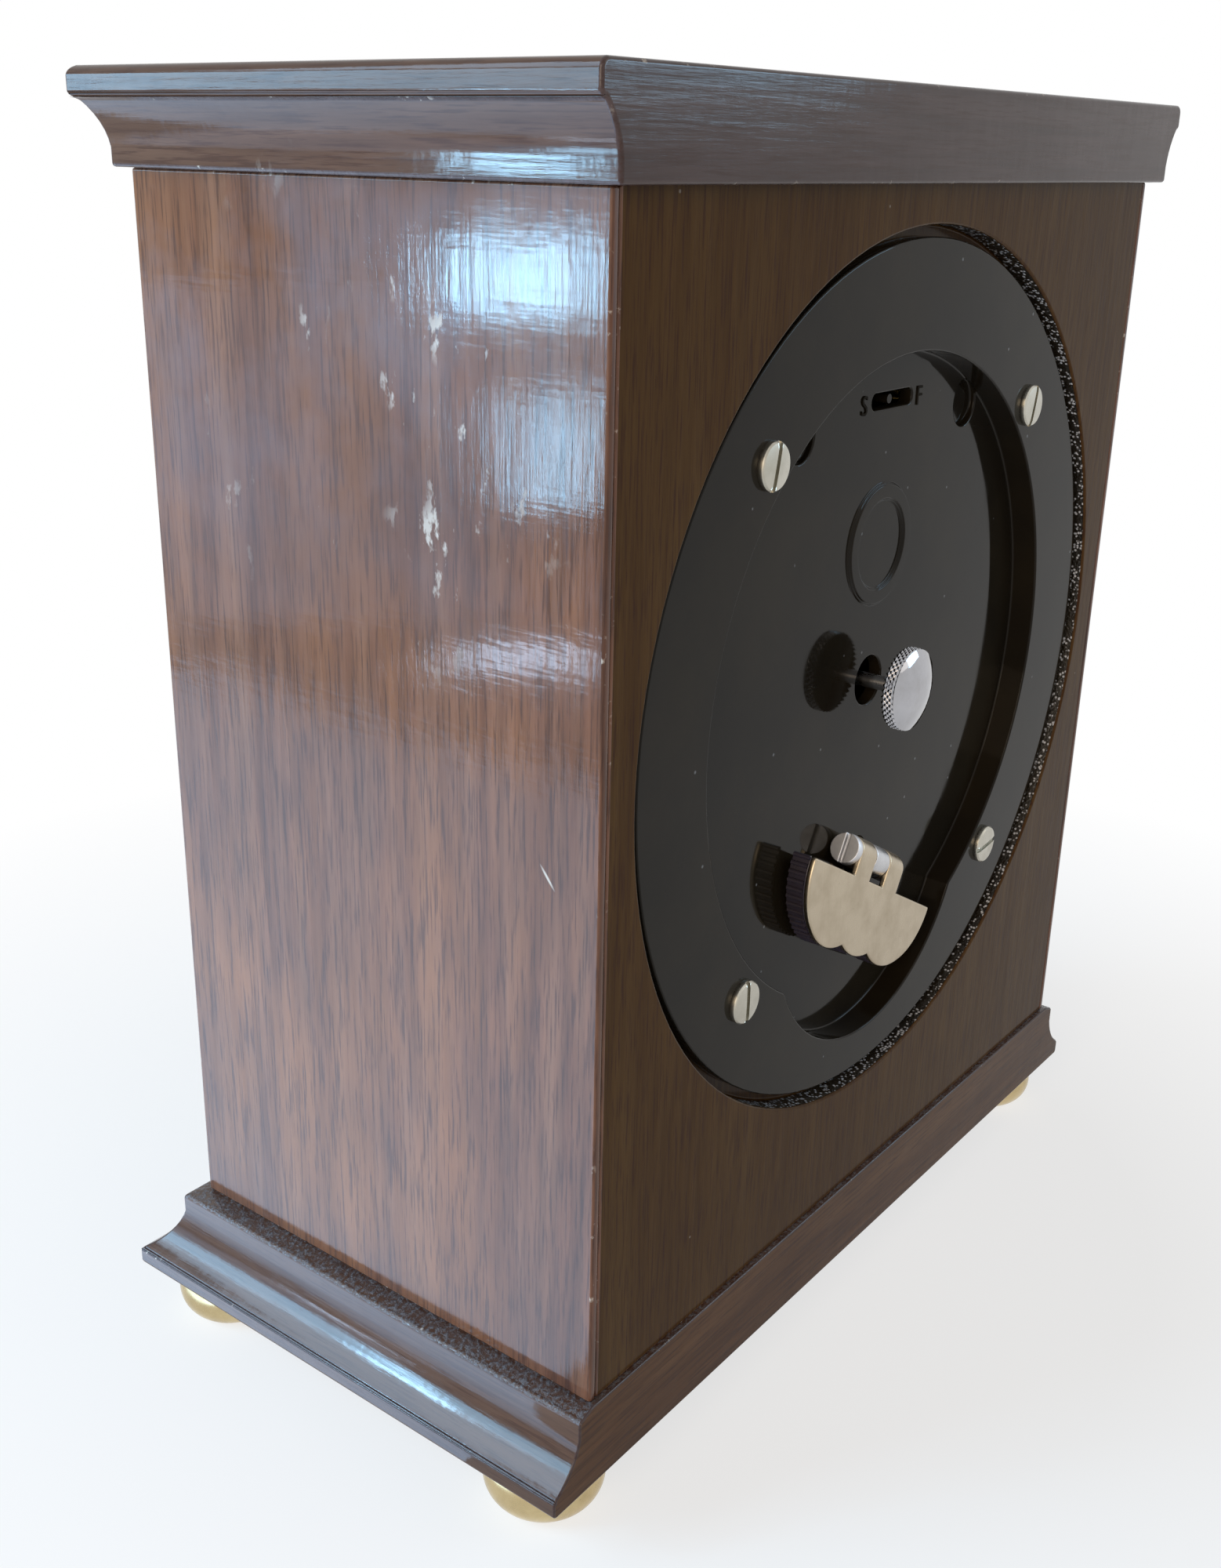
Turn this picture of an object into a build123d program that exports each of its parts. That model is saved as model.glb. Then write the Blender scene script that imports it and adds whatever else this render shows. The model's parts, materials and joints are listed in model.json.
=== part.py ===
"""Rectangular mahogany mantel clock, eight-day, wound and set from the back.

Frame: millimetres, +Z up, X across the clock, the back of the clock towards +Y.
The origin is at floor level under the middle of the clock's bounding box.
Layout in the movement is given as seen from behind: u to the right (-X) and v up,
both measured from the centre arbor.
"""
import os
from math import acos, atan2, cos, degrees, hypot, pi, radians, sin, sqrt, tan

from build123d import *

os.makedirs("parts", exist_ok=True)

# Case body
body_width = 131.0
body_depth = 71.0
rail_above_opening = 4.7
rail_below_opening = 16.7
board = 8.0
side_lap = 1.2

# Cornice board, its moulding worked on the front and both sides
cornice_height = 10.8
cornice_out = 4.7
cornice_foot_out = 1.6
cornice_foot_height = 2.2
cornice_cove_depth = 0.45
cornice_fillet = 3.4
cornice_drip_round = 0.7
cornice_round = 1.2
cornice_back_out = 2.2

# Base board, its moulding worked on the front and both sides
base_height = 12.2
base_out = 7.5
base_ledge_out = 2.7
base_ledge_fall = 0.7
base_ledge_round = 0.7
base_neck_height = 2.2
base_hollow_depth = 0.75
base_fillet = 2.4
base_fillet_round = 0.6
base_quirk = 0.3
base_back_out = 0.7

# Bun feet and their screws
foot_radius = 8.0
foot_sole_radius = 5.6
foot_neck_radius = 6.2
foot_height = 7.5
foot_inset = 9.4
foot_screw_radius = 1.3
foot_screw_head_radius = 2.6
foot_screw_head = 1.8
foot_screw_sink = 1.0
foot_screw_grip = 7.0

# Opening in the back panel and the moulded back cover
back_hole_radius = 59.3
cover_radius = 57.8
cover_sunk = 1.1
flange_thickness = 2.4
ledge_radius = 51.6
dish_radius = 44.0
dish_depth = 3.9
dish_wall = 1.2
dish_floor = 2.0
key_pocket_radius = 26.0
key_pocket_clearance = 0.5
stem_hole_radius = 3.4
arbor_hole_radius = 2.7
roundel_radius = 8.1
roundel_rim = 2.1
roundel_rise = 0.5
sink_radius = 3.2
sink_depth = 0.9
sink_u = 21.5
sink_v = 35.3
slot_length = 10.5
slot_width = 2.0
slot_u = 0.7
slot_v = 37.7

# Cover screws and the posts they bite in
screw_half_pitch = 34.0
screw_head_radius = 2.9
screw_head = 1.0
screw_slot_width = 0.7
screw_slot_depth = 0.5
screw_shank_radius = 1.25
screw_grip = 6.0
screw_clearance = 0.25
screw_slot_angles = (78.0, 76.0, 90.0, 6.0)
post_radius = 2.5
pillar_radius = 3.5
spigot_radius = 1.5
spigot_grip = 4.0

# Hand-setting knob and stem
knob_radius = 5.7
knob_gap = 5.1
knob_band = 2.1
knob_dome = 0.9
knob_rim_rise = 0.7
knob_rim_round = 1.4
knob_socket = 2.0
stem_radius = 1.0

# Folding winding key
winding_drop = 26.0
key_turn = -29.4
pivot_rise = 2.45
hub_radius = 2.2
hub_half_length = 2.2
knuckle_radius = 2.25
knuckle_length = 4.8
knuckle_gap = 0.2
wing_thickness = 0.9
wing_half_length = 19.8
wing_shoulder = 3.1
wing_end_along = 14.6
wing_end_out = 12.2
wing_bulge_along = 18.5
wing_bulge_out = 8.4
wing_lobe_along = 9.8
wing_lobe_out = 13.8
wing_valley_along = 4.3
wing_valley_out = 12.7
wing_middle = 13.7
grip_rise = 1.0
grip_inset = 0.25
pivot_radius = 1.0
pivot_head = 1.5
pivot_head_radius = 2.2
pivot_slot = 0.6
key_shaft_radius = 2.1

# Movement plates, front to back
mounting_plate_radius = 54.0
mounting_plate = 1.5
motion_space = 9.6
plate_thickness = 2.0
plate_space = 22.0
plate_half_width = 40.0
plate_top = 40.0
plate_bottom = 50.0
plate_corner = 8.0

# Clearances
running = 0.05
shake = 0.3
layer_gap = 0.4

# Gear cutting
pressure_angle = 20.0
addendum = 0.75
dedendum = 1.15
backlash = 0.12

# Train: teeth and modules of each meshing pair
great_teeth, intermediate_leaves, great_module = 72, 12, 0.6
intermediate_teeth, centre_leaves, intermediate_module = 60, 12, 0.5
centre_teeth, third_leaves, centre_module = 64, 8, 0.45
third_teeth, fourth_leaves, third_module = 60, 8, 0.4
fourth_teeth, escape_leaves, fourth_module = 64, 8, 0.35
cannon_teeth, minute_teeth, cannon_module = 12, 36, 0.5
minute_leaves, hour_teeth = 12, 48

# Heights above the inner face of the front plate
centre_wheel_at = 1.5
intermediate_wheel_at = 5.0
third_wheel_at = 5.0
great_wheel_at = 8.6
fourth_wheel_at = 11.0
escape_wheel_at = 15.8
pallet_cock_at = 17.2
balance_at = 18.3
hairspring_at = 20.1
wheel_thickness = 1.1
great_thickness = 1.6
pinion_overhang = 0.8

# Arbors
centre_sleeve_radius = 2.0
centre_pivot_radius = 1.6
intermediate_arbor_radius = 1.2
third_arbor_radius = 0.8
fourth_arbor_radius = 0.75
escape_arbor_radius = 0.65
lever_arbor_radius = 0.6
balance_staff_radius = 0.6
train_pivot_radius = 0.45
heavy_pivot_radius = 0.7

# Barrel, mainspring and winding work
barrel_radius = 20.4
barrel_wall = 1.2
barrel_depth = 9.6
barrel_lid = 1.0
winding_radius = 3.0
winding_pivot_radius = 2.0
winding_back_radius = 2.5
mainspring_thickness = 0.4
mainspring_turns = 7
mainspring_gap = 0.2
ratchet_radius = 8.5
ratchet_depth = 1.3
ratchet_teeth = 24
ratchet_thickness = 1.4
click_distance = 14.0
click_angle = 40.0
click_boss_radius = 2.0
click_clear = 0.22
click_width = 1.6
click_screw_radius = 0.9
click_screw_head = 0.7
click_spring_width = 0.5
click_spring_foot = 3.0
click_spring_gap = 1.0

# Escapement
balance_rise = 22.0
balance_radius = 9.0
balance_rim = 1.3
balance_arm = 1.4
balance_thickness = 1.2
roller_radius = 1.5
roller_thickness = 0.7
escape_distance = 13.0
escape_angle = 160.0
fourth_angle = 250.0
escape_radius = 5.5
escape_depth = 1.6
escape_teeth = 15
escape_thickness = 0.8
pallet_gap = 0.35
pallet_span = 36.0
pallet_arm = 1.0
lever_thickness = 1.0
lever_width = 1.2
fork_clear = 0.5
cock_post_distance = 13.5
cock_post_angle = 120.0
cock_post_radius = 2.0
cock_width = 3.0
cock_thickness = 0.7
hairspring_thickness = 0.25
hairspring_pitch = 0.6
hairspring_turns = 6
hairspring_start = 1.3
hairspring_height = 0.7
stud_radius = 0.5
stud_gap = 0.02

# Regulator index
index_boss_radius = 1.8
index_boss = 1.4
index_thickness = 0.8
index_rim = 1.4
index_width = 2.0
index_pin_radius = 0.6
index_pin_sunk = 0.5

# Motion work and hands
minute_post_angle = 200.0
minute_post_radius = 0.9
minute_post_head = 1.5
cannon_at = 2.0
hour_wheel_at = 5.2
motion_wheel = 1.0
cannon_pipe_radius = 2.0
hour_pipe_radius = 3.0
hand_thickness = 0.5
hour_hand_rise = 1.6
hand_gap = 1.4
hour_hand_length = 24.0
minute_hand_length = 37.0
hour_hand_width = 3.2
minute_hand_width = 2.4
hand_tip_width = 0.6
hand_boss_radius = 4.0
hand_tail = 7.0
hand_nut_radius = 2.6
hand_nut = 1.2
shown_hours = 10
shown_minutes = 9

# Dial, bezel and glass in the front panel
dial_hole_radius = 48.0
dial_radius = 47.4
dial_thickness = 0.8
dial_hole_clearance = 0.5
bezel_radius = 54.0
bezel_rise = 3.4
bezel_sleeve = 1.4
bezel_fit = 0.4
bezel_lip = 2.0
glass_thickness = 1.4
glass_dome = 3.2
glass_seat = 1.2
glass_fit = 0.1

# Places worked out from the sizes above
centre_above_base = rail_below_opening + back_hole_radius
body_height = centre_above_base + back_hole_radius + rail_above_opening
knob_proud = knob_gap + knob_band + knob_dome - cover_sunk - dish_depth
back_y = (body_depth + base_out - knob_proud) / 2
front_y = back_y - body_depth
panel_inner_y = front_y + board
body_z = foot_height + base_height
top_z = body_z + body_height
centre_z = body_z + centre_above_base

flange_y = back_y - cover_sunk
flange_front_y = flange_y - flange_thickness
floor_y = flange_y - dish_depth
floor_front_y = floor_y - dish_floor

mounting_y = panel_inner_y
mounting_back_y = mounting_y + mounting_plate
front_plate_y = mounting_back_y + motion_space
train_y = front_plate_y + plate_thickness
back_plate_y = train_y + plate_space
back_plate_outer_y = back_plate_y + plate_thickness

pivot_y = floor_y + pivot_rise
wing_top_y = pivot_y + knuckle_radius
wing_y = wing_top_y - wing_thickness
grip_y = floor_y + grip_rise
knob_y = floor_y + knob_gap

centre = (0.0, 0.0)
winding = (0.0, -winding_drop)


def polar(start, distance, angle):
    """Return the point at a distance and an angle in degrees from a start point."""
    return (start[0] + distance * cos(radians(angle)), start[1] + distance * sin(radians(angle)))


def bearing(start, end):
    """Return the angle in degrees of the line from one point to another."""
    return degrees(atan2(end[1] - start[1], end[0] - start[0]))


def meet(first, first_distance, second, second_distance, side):
    """Return the point at two given distances from two points, on one side of their line."""
    span = hypot(second[0] - first[0], second[1] - first[1])
    corner = (first_distance**2 + span**2 - second_distance**2) / (2 * first_distance * span)
    return polar(first, first_distance, bearing(first, second) + side * degrees(acos(corner)))


def mesh_distance(wheel, pinion, module):
    """Return the centre distance of two meshing gears."""
    return (wheel + pinion) * module / 2


# Arbor places
intermediate = meet(
    centre,
    mesh_distance(intermediate_teeth, centre_leaves, intermediate_module),
    winding,
    mesh_distance(great_teeth, intermediate_leaves, great_module),
    1,
)
balance = (slot_u, balance_rise)
escape = polar(balance, escape_distance, escape_angle)
lever = polar(balance, escape_distance / 2, escape_angle)
fourth = polar(escape, mesh_distance(fourth_teeth, escape_leaves, fourth_module), fourth_angle)
third = meet(
    centre,
    mesh_distance(centre_teeth, third_leaves, centre_module),
    fourth,
    mesh_distance(third_teeth, fourth_leaves, third_module),
    1,
)
motion_distance = mesh_distance(minute_teeth, cannon_teeth, cannon_module)
minute_place = polar(centre, motion_distance, minute_post_angle)
hour_module = 2 * motion_distance / (minute_leaves + hour_teeth)
pillar_places = [(su * screw_half_pitch, sv * screw_half_pitch) for sv in (1, -1) for su in (-1, 1)]


def back_plane(y, place=centre, turn=0.0):
    """Return a plane facing the back, with u to the right and v up, turned about its normal."""
    origin = (-place[0], y, centre_z + place[1])
    along = (-cos(radians(turn)), 0, sin(radians(turn)))
    return Plane(origin=origin, x_dir=along, z_dir=(0, 1, 0))


def turning_plane(place):
    """Return the plane of a turned piece's half section: radius and Y."""
    return Plane(origin=(-place[0], 0, centre_z + place[1]), x_dir=(1, 0, 0), z_dir=(0, 0, 1))


def turning_axis(place):
    """Return the front-to-back axis through a place."""
    return Axis((-place[0], 0, centre_z + place[1]), (0, 1, 0))


def finish(piece, name):
    """Label a finished piece and write its file."""
    piece.part.label = name
    export_step(piece.part, f"parts/{name}.step")


def half_section(steps, bore=0.0):
    """Return the half section of a stepped shaft from (start, end, radius) steps."""
    points = [(bore, steps[0][0])]
    for start, end, radius in steps:
        points += [(radius, start), (radius, end)]
    points.append((bore, steps[-1][1]))
    return points


def turned(place, points):
    """Turn a half section about the arbor at a place."""
    with BuildPart() as piece:
        with BuildSketch(turning_plane(place)):
            with BuildLine():
                Polyline(*points, close=True)
            make_face()
        revolve(axis=turning_axis(place))
    return piece


def involute(angle):
    """Return the involute function of an angle in radians."""
    return tan(angle) - angle


def gear_points(teeth, module, toward, tooth=True):
    """Return the outline of a gear with a tooth, or a gap, facing an angle in degrees."""
    pitch = teeth * module / 2
    base = pitch * cos(radians(pressure_angle))
    tip = pitch + addendum * module
    root = pitch - dedendum * module
    half_tooth = pi / (2 * teeth) - backlash * module / (2 * pitch)
    levels = sorted({root, max(root, base), pitch, tip})

    def half_angle(radius):
        rolled = acos(min(1.0, base / max(radius, base)))
        return half_tooth + involute(radians(pressure_angle)) - involute(rolled)

    points = []
    for index in range(teeth):
        middle = radians(toward) + (index + (0.0 if tooth else 0.5)) * 2 * pi / teeth
        rising = [(radius, middle - half_angle(radius)) for radius in levels]
        falling = [(radius, middle + half_angle(radius)) for radius in reversed(levels)]
        points += [(radius * cos(turn), radius * sin(turn)) for radius, turn in rising + falling]
    return points


def saw_points(teeth, tip, depth, toward, lean):
    """Return a saw-toothed outline whose steep faces turn anticlockwise from the back."""
    points = []
    pitch = 2 * pi / teeth
    for index in range(teeth):
        steep = radians(toward) + index * pitch
        points.append((tip * cos(steep), tip * sin(steep)))
        foot = steep + lean * pitch
        points.append(((tip - depth) * cos(foot), (tip - depth) * sin(foot)))
    return points


def wheel(place, start, thickness, points, bore, windows=0, window_at=0.0, window_radius=0.0):
    """Cut a flat wheel with a bore and round windows."""
    with BuildPart() as piece:
        with BuildSketch(back_plane(start, place)):
            with BuildLine():
                Polyline(*points, close=True)
            make_face()
            Circle(bore, mode=Mode.SUBTRACT)
            if windows:
                with PolarLocations(window_at, windows):
                    Circle(window_radius, mode=Mode.SUBTRACT)
        extrude(amount=thickness)
    return piece


def pinion_arbor(place, steps, pinion_start, pinion_length, points, bore=0.0):
    """Turn an arbor and add its pinion leaves."""
    with BuildPart() as piece:
        with BuildSketch(turning_plane(place)):
            with BuildLine():
                Polyline(*half_section(steps, bore), close=True)
            make_face()
        revolve(axis=turning_axis(place))
        with BuildSketch(back_plane(pinion_start, place)):
            with BuildLine():
                Polyline(*points, close=True)
            make_face()
            if bore:
                Circle(bore, mode=Mode.SUBTRACT)
        extrude(amount=pinion_length)
    return piece


def spiral(place, start_y, height, inner, pitch, turns, thickness):
    """Wind a flat spiral spring from half circles that each grow by half a pitch."""
    half = thickness / 2
    outer_edge = []
    inner_edge = []
    radius = inner
    middle = 0.0
    side = 1
    for _ in range(2 * turns):
        outer_edge.append((middle, radius + half, side))
        inner_edge.append((middle, radius - half, side))
        middle += side * pitch / 2
        radius += pitch / 2
        side = -side
    with BuildPart() as piece:
        with BuildSketch(back_plane(start_y, place)):
            with BuildLine():
                for edge in (outer_edge, inner_edge):
                    for at, reach, way in edge:
                        ThreePointArc((at + way * reach, 0), (at, way * reach), (at - way * reach, 0))
                for at, reach, way in (outer_edge[0], outer_edge[-1]):
                    end = at + (reach if (at, reach, way) == outer_edge[0] else -reach) * way
                    toward = -way if (at, reach, way) == outer_edge[0] else way
                    Line((end, 0), (end + toward * thickness, 0))
            make_face()
        extrude(amount=height)
    return piece


# Case boards, the sides lapping the edges of the front and back panels
panel_width = body_width - 2 * side_lap


def panel(y, hole_radius):
    """Cut a case panel with a round opening on the clock's centre."""
    with BuildPart() as piece:
        with BuildSketch(back_plane(y)):
            with Locations((0, body_height / 2 - centre_above_base)):
                Rectangle(panel_width, body_height)
            Circle(hole_radius, mode=Mode.SUBTRACT)
        extrude(amount=board)
    return piece


finish(panel(front_y, dial_hole_radius), "case_front")

with BuildPart() as case_back:
    with BuildSketch(back_plane(back_y - board)):
        with Locations((0, body_height / 2 - centre_above_base)):
            Rectangle(panel_width, body_height)
        Circle(ledge_radius, mode=Mode.SUBTRACT)
        with Locations(winding):
            Circle(key_pocket_radius + dish_wall + key_pocket_clearance, mode=Mode.SUBTRACT)
    extrude(amount=board)
    with BuildSketch(back_plane(flange_front_y)):
        Circle(back_hole_radius)
    extrude(amount=cover_sunk + flange_thickness, mode=Mode.SUBTRACT)
finish(case_back, "case_back")

side_depth = body_depth - 2 * board
for side_name, side in (("case_side_left", -1), ("case_side_right", 1)):
    with BuildPart() as case_side:
        with BuildSketch(Plane.XY.offset(body_z)):
            with Locations((side * (body_width - board) / 2, (front_y + back_y) / 2)):
                Rectangle(board, side_depth)
            with Locations((side * (body_width - side_lap) / 2, (front_y + back_y) / 2)):
                Rectangle(side_lap, body_depth)
        extrude(amount=body_height)
    finish(case_side, side_name)


def moulding_edge(face, sign, edge, base):
    """Draw one moulded edge from its (out, height) steps, arcs given by a middle point."""
    last = None
    for step in edge:
        spots = [(face + sign * out, base + height) for out, height in step]
        if last is not None and len(spots) == 1:
            Line(last, spots[0])
        if len(spots) == 2:
            ThreePointArc(last, spots[0], spots[1])
        last = spots[-1]
    return last


def moulded_board(base, edge, back_out):
    """Shape a board whose moulding runs along the front and both sides."""
    ends = (edge[0][0], edge[-1][-1])
    with BuildPart() as piece:
        with BuildSketch(Plane.XZ.offset(-back_y - back_out)):
            with BuildLine():
                for sign in (-1, 1):
                    moulding_edge(sign * body_width / 2, sign, edge, base)
                for out, height in ends:
                    Line((-body_width / 2 - out, base + height), (body_width / 2 + out, base + height))
            make_face()
        extrude(amount=body_depth + back_out + base_out + cornice_out)
        with BuildSketch(Plane.YZ.offset(-body_width)):
            with BuildLine():
                moulding_edge(front_y, -1, edge, base)
                for out, height in ends:
                    Line((front_y - out, base + height), (back_y + back_out, base + height))
                Line((back_y + back_out, base + ends[0][1]), (back_y + back_out, base + ends[1][1]))
            make_face()
        extrude(amount=2 * body_width, mode=Mode.INTERSECT)
    return piece


def dip(start, end, depth):
    """Return the middle of an arc that runs from one (out, height) to another and dips into the wood."""
    run, rise = end[0] - start[0], end[1] - start[1]
    length = hypot(run, rise)
    return ((start[0] + end[0]) / 2 - depth * rise / length, (start[1] + end[1]) / 2 + depth * run / length)


diagonal = 1 - sqrt(0.5)
cove_top = cornice_height - cornice_fillet
cove_start = (cornice_foot_out, cornice_foot_height)
cove_end = (cornice_out - cornice_drip_round, cove_top)
drip_middle = (cornice_out - diagonal * cornice_drip_round, cove_top + diagonal * cornice_drip_round)
round_middle = (cornice_out - diagonal * cornice_round, cornice_height - diagonal * cornice_round)
cornice_edge = [
    [(cornice_foot_out, 0)],
    [cove_start],
    [dip(cove_start, cove_end, cornice_cove_depth), cove_end],
    [drip_middle, (cornice_out, cove_top + cornice_drip_round)],
    [(cornice_out, cornice_height - cornice_round)],
    [round_middle, (cornice_out - cornice_round, cornice_height)],
]
finish(moulded_board(top_z, cornice_edge, cornice_back_out), "cornice_board")

ledge_top = base_height - base_ledge_fall
neck_top = ledge_top - base_ledge_round
hollow_start = (base_out - base_quirk, base_fillet + base_quirk)
hollow_end = (base_ledge_out, neck_top - base_neck_height)
fillet_middle = (base_out - diagonal * base_fillet_round, diagonal * base_fillet_round)
ledge_middle = (base_ledge_out - diagonal * base_ledge_round, ledge_top - diagonal * base_ledge_round)
base_edge = [
    [(base_out - base_fillet_round, 0)],
    [fillet_middle, (base_out, base_fillet_round)],
    [(base_out, base_fillet)],
    [(hollow_start[0], base_fillet)],
    [hollow_start],
    [dip(hollow_start, hollow_end, base_hollow_depth), hollow_end],
    [(base_ledge_out, neck_top)],
    [ledge_middle, (base_ledge_out - base_ledge_round, ledge_top)],
    [(0, base_height)],
]
foot_x = body_width / 2 + base_out - foot_inset
foot_back_y = back_y + base_back_out - foot_inset
foot_front_y = front_y - base_out + foot_inset
foot_places = {
    "foot_front_left": (-foot_x, foot_front_y),
    "foot_front_right": (foot_x, foot_front_y),
    "foot_back_left": (-foot_x, foot_back_y),
    "foot_back_right": (foot_x, foot_back_y),
}
base_blank = moulded_board(foot_height, base_edge, base_back_out)
with BuildPart() as base_board:
    add(base_blank.part)
    with BuildSketch(Plane.XY.offset(foot_height)):
        with Locations(*foot_places.values()):
            Circle(foot_screw_radius)
    extrude(amount=foot_screw_grip, mode=Mode.SUBTRACT)
finish(base_board, "base_board")

# Feet and their screws
for foot_name, (foot_at_x, foot_at_y) in foot_places.items():
    foot_plane = Plane(origin=(foot_at_x, foot_at_y, 0), x_dir=(1, 0, 0), z_dir=(0, -1, 0))
    with BuildPart() as foot:
        with BuildSketch(foot_plane):
            with BuildLine():
                Line((foot_screw_head_radius, 0), (foot_sole_radius, 0))
                ThreePointArc(
                    (foot_sole_radius, 0),
                    (foot_radius, foot_height / 2),
                    (foot_neck_radius, foot_height),
                )
                Polyline(
                    (foot_neck_radius, foot_height),
                    (foot_screw_radius, foot_height),
                    (foot_screw_radius, foot_screw_sink + foot_screw_head),
                    (foot_screw_head_radius, foot_screw_sink + foot_screw_head),
                    (foot_screw_head_radius, 0),
                )
            make_face()
        revolve(axis=Axis((foot_at_x, foot_at_y, 0), (0, 0, 1)))
    finish(foot, foot_name)

with BuildPart() as foot_screws:
    with BuildSketch(Plane.XY.offset(foot_screw_sink)):
        with Locations(*foot_places.values()):
            Circle(foot_screw_head_radius)
    extrude(amount=foot_screw_head)
    with BuildSketch(Plane.XY.offset(foot_screw_sink + foot_screw_head)):
        with Locations(*foot_places.values()):
            Circle(foot_screw_radius)
    extrude(amount=foot_height + foot_screw_grip - foot_screw_sink - foot_screw_head)
finish(foot_screws, "foot_screws")

# Back cover: flange, shallow dish with the key's pocket, and its openings
with BuildPart() as back_cover:
    with BuildSketch(back_plane(floor_front_y)):
        Circle(dish_radius + dish_wall)
        with Locations(winding):
            Circle(key_pocket_radius + dish_wall)
    extrude(amount=flange_front_y - floor_front_y)
    with BuildSketch(back_plane(flange_front_y)):
        Circle(cover_radius)
    extrude(amount=flange_thickness)
    with BuildSketch(back_plane(floor_y)):
        Circle(dish_radius)
        with Locations(winding):
            Circle(key_pocket_radius)
    extrude(amount=dish_depth, mode=Mode.SUBTRACT)
    with BuildSketch(back_plane(floor_y - sink_depth)):
        with Locations((-sink_u, sink_v), (sink_u, sink_v)):
            Circle(sink_radius)
    extrude(amount=sink_depth, mode=Mode.SUBTRACT)
    with BuildSketch(back_plane(floor_front_y)):
        Circle(stem_hole_radius)
        with Locations(winding):
            Circle(arbor_hole_radius)
        with Locations((slot_u, slot_v)):
            SlotOverall(slot_length, slot_width)
    extrude(amount=dish_floor, mode=Mode.SUBTRACT)
    with BuildSketch(back_plane(floor_front_y)):
        with Locations(*pillar_places):
            Circle(screw_shank_radius + screw_clearance)
    extrude(amount=flange_y - floor_front_y, mode=Mode.SUBTRACT)
    with BuildSketch(back_plane(floor_y)):
        with Locations((0, slot_v / 2)):
            Circle(roundel_radius)
            Circle(roundel_radius - roundel_rim, mode=Mode.SUBTRACT)
    extrude(amount=roundel_rise)
finish(back_cover, "back_cover")

with BuildPart() as cover_screws:
    with BuildSketch(back_plane(flange_y)):
        with Locations(*pillar_places):
            Circle(screw_head_radius)
    extrude(amount=screw_head)
    with BuildSketch(back_plane(flange_front_y - screw_grip)):
        with Locations(*pillar_places):
            Circle(screw_shank_radius)
    extrude(amount=flange_thickness + screw_grip)
    with BuildSketch(back_plane(flange_y + screw_head - screw_slot_depth)):
        for screw_place, screw_turn in zip(pillar_places, screw_slot_angles):
            with Locations(Location(screw_place, screw_turn)):
                Rectangle(3 * screw_head_radius, screw_slot_width)
    extrude(amount=screw_slot_depth, mode=Mode.SUBTRACT)
finish(cover_screws, "cover_screws")

# Posts and pillars that carry the movement between the front and the back cover
with BuildPart() as rear_posts:
    with BuildSketch(back_plane(back_plate_outer_y)):
        with Locations(*pillar_places):
            Circle(post_radius)
    extrude(amount=flange_front_y - back_plate_outer_y)
    with BuildSketch(back_plane(back_plate_outer_y)):
        with Locations(*pillar_places):
            Circle(spigot_radius)
    extrude(amount=spigot_grip, mode=Mode.SUBTRACT)
    with BuildSketch(back_plane(flange_front_y - screw_grip)):
        with Locations(*pillar_places):
            Circle(screw_shank_radius)
    extrude(amount=screw_grip, mode=Mode.SUBTRACT)
finish(rear_posts, "rear_posts")

with BuildPart() as plate_pillars:
    with BuildSketch(back_plane(train_y)):
        with Locations(*pillar_places):
            Circle(pillar_radius)
    extrude(amount=plate_space)
    with BuildSketch(back_plane(front_plate_y - spigot_grip)):
        with Locations(*pillar_places):
            Circle(spigot_radius)
    extrude(amount=plate_space + 2 * plate_thickness + 2 * spigot_grip)
finish(plate_pillars, "plate_pillars")

with BuildPart() as front_pillars:
    with BuildSketch(back_plane(mounting_back_y)):
        with Locations(*pillar_places):
            Circle(pillar_radius)
    extrude(amount=motion_space)
    with BuildSketch(back_plane(front_plate_y - spigot_grip)):
        with Locations(*pillar_places):
            Circle(spigot_radius)
    extrude(amount=spigot_grip, mode=Mode.SUBTRACT)
    with BuildSketch(back_plane(mounting_y)):
        with Locations(*pillar_places):
            Circle(spigot_radius)
    extrude(amount=mounting_plate)
finish(front_pillars, "front_pillars")

# Movement plates with a pivot hole for each arbor
pivot_holes = [
    (intermediate, heavy_pivot_radius),
    (third, train_pivot_radius),
    (fourth, train_pivot_radius),
    (escape, train_pivot_radius),
    (balance, train_pivot_radius),
    (centre, centre_pivot_radius),
]


def movement_plate(y, holes):
    """Cut one movement plate with its pillar holes and pivot holes."""
    with BuildPart() as piece:
        with BuildSketch(back_plane(y)):
            with Locations((0, (plate_top - plate_bottom) / 2)):
                RectangleRounded(2 * plate_half_width, plate_top + plate_bottom, plate_corner)
            with Locations(*pillar_places):
                Circle(spigot_radius, mode=Mode.SUBTRACT)
            for place, radius in holes:
                with Locations(place):
                    Circle(radius + running, mode=Mode.SUBTRACT)
        extrude(amount=plate_thickness)
    return piece


front_holes = pivot_holes + [(winding, winding_pivot_radius), (lever, train_pivot_radius)]
front_blank = movement_plate(front_plate_y, front_holes)
with BuildPart() as front_plate:
    add(front_blank.part)
    with BuildSketch(back_plane(front_plate_y)):
        with Locations(minute_place):
            Circle(minute_post_radius)
    extrude(amount=plate_thickness, mode=Mode.SUBTRACT)
finish(front_plate, "front_plate")

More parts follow.
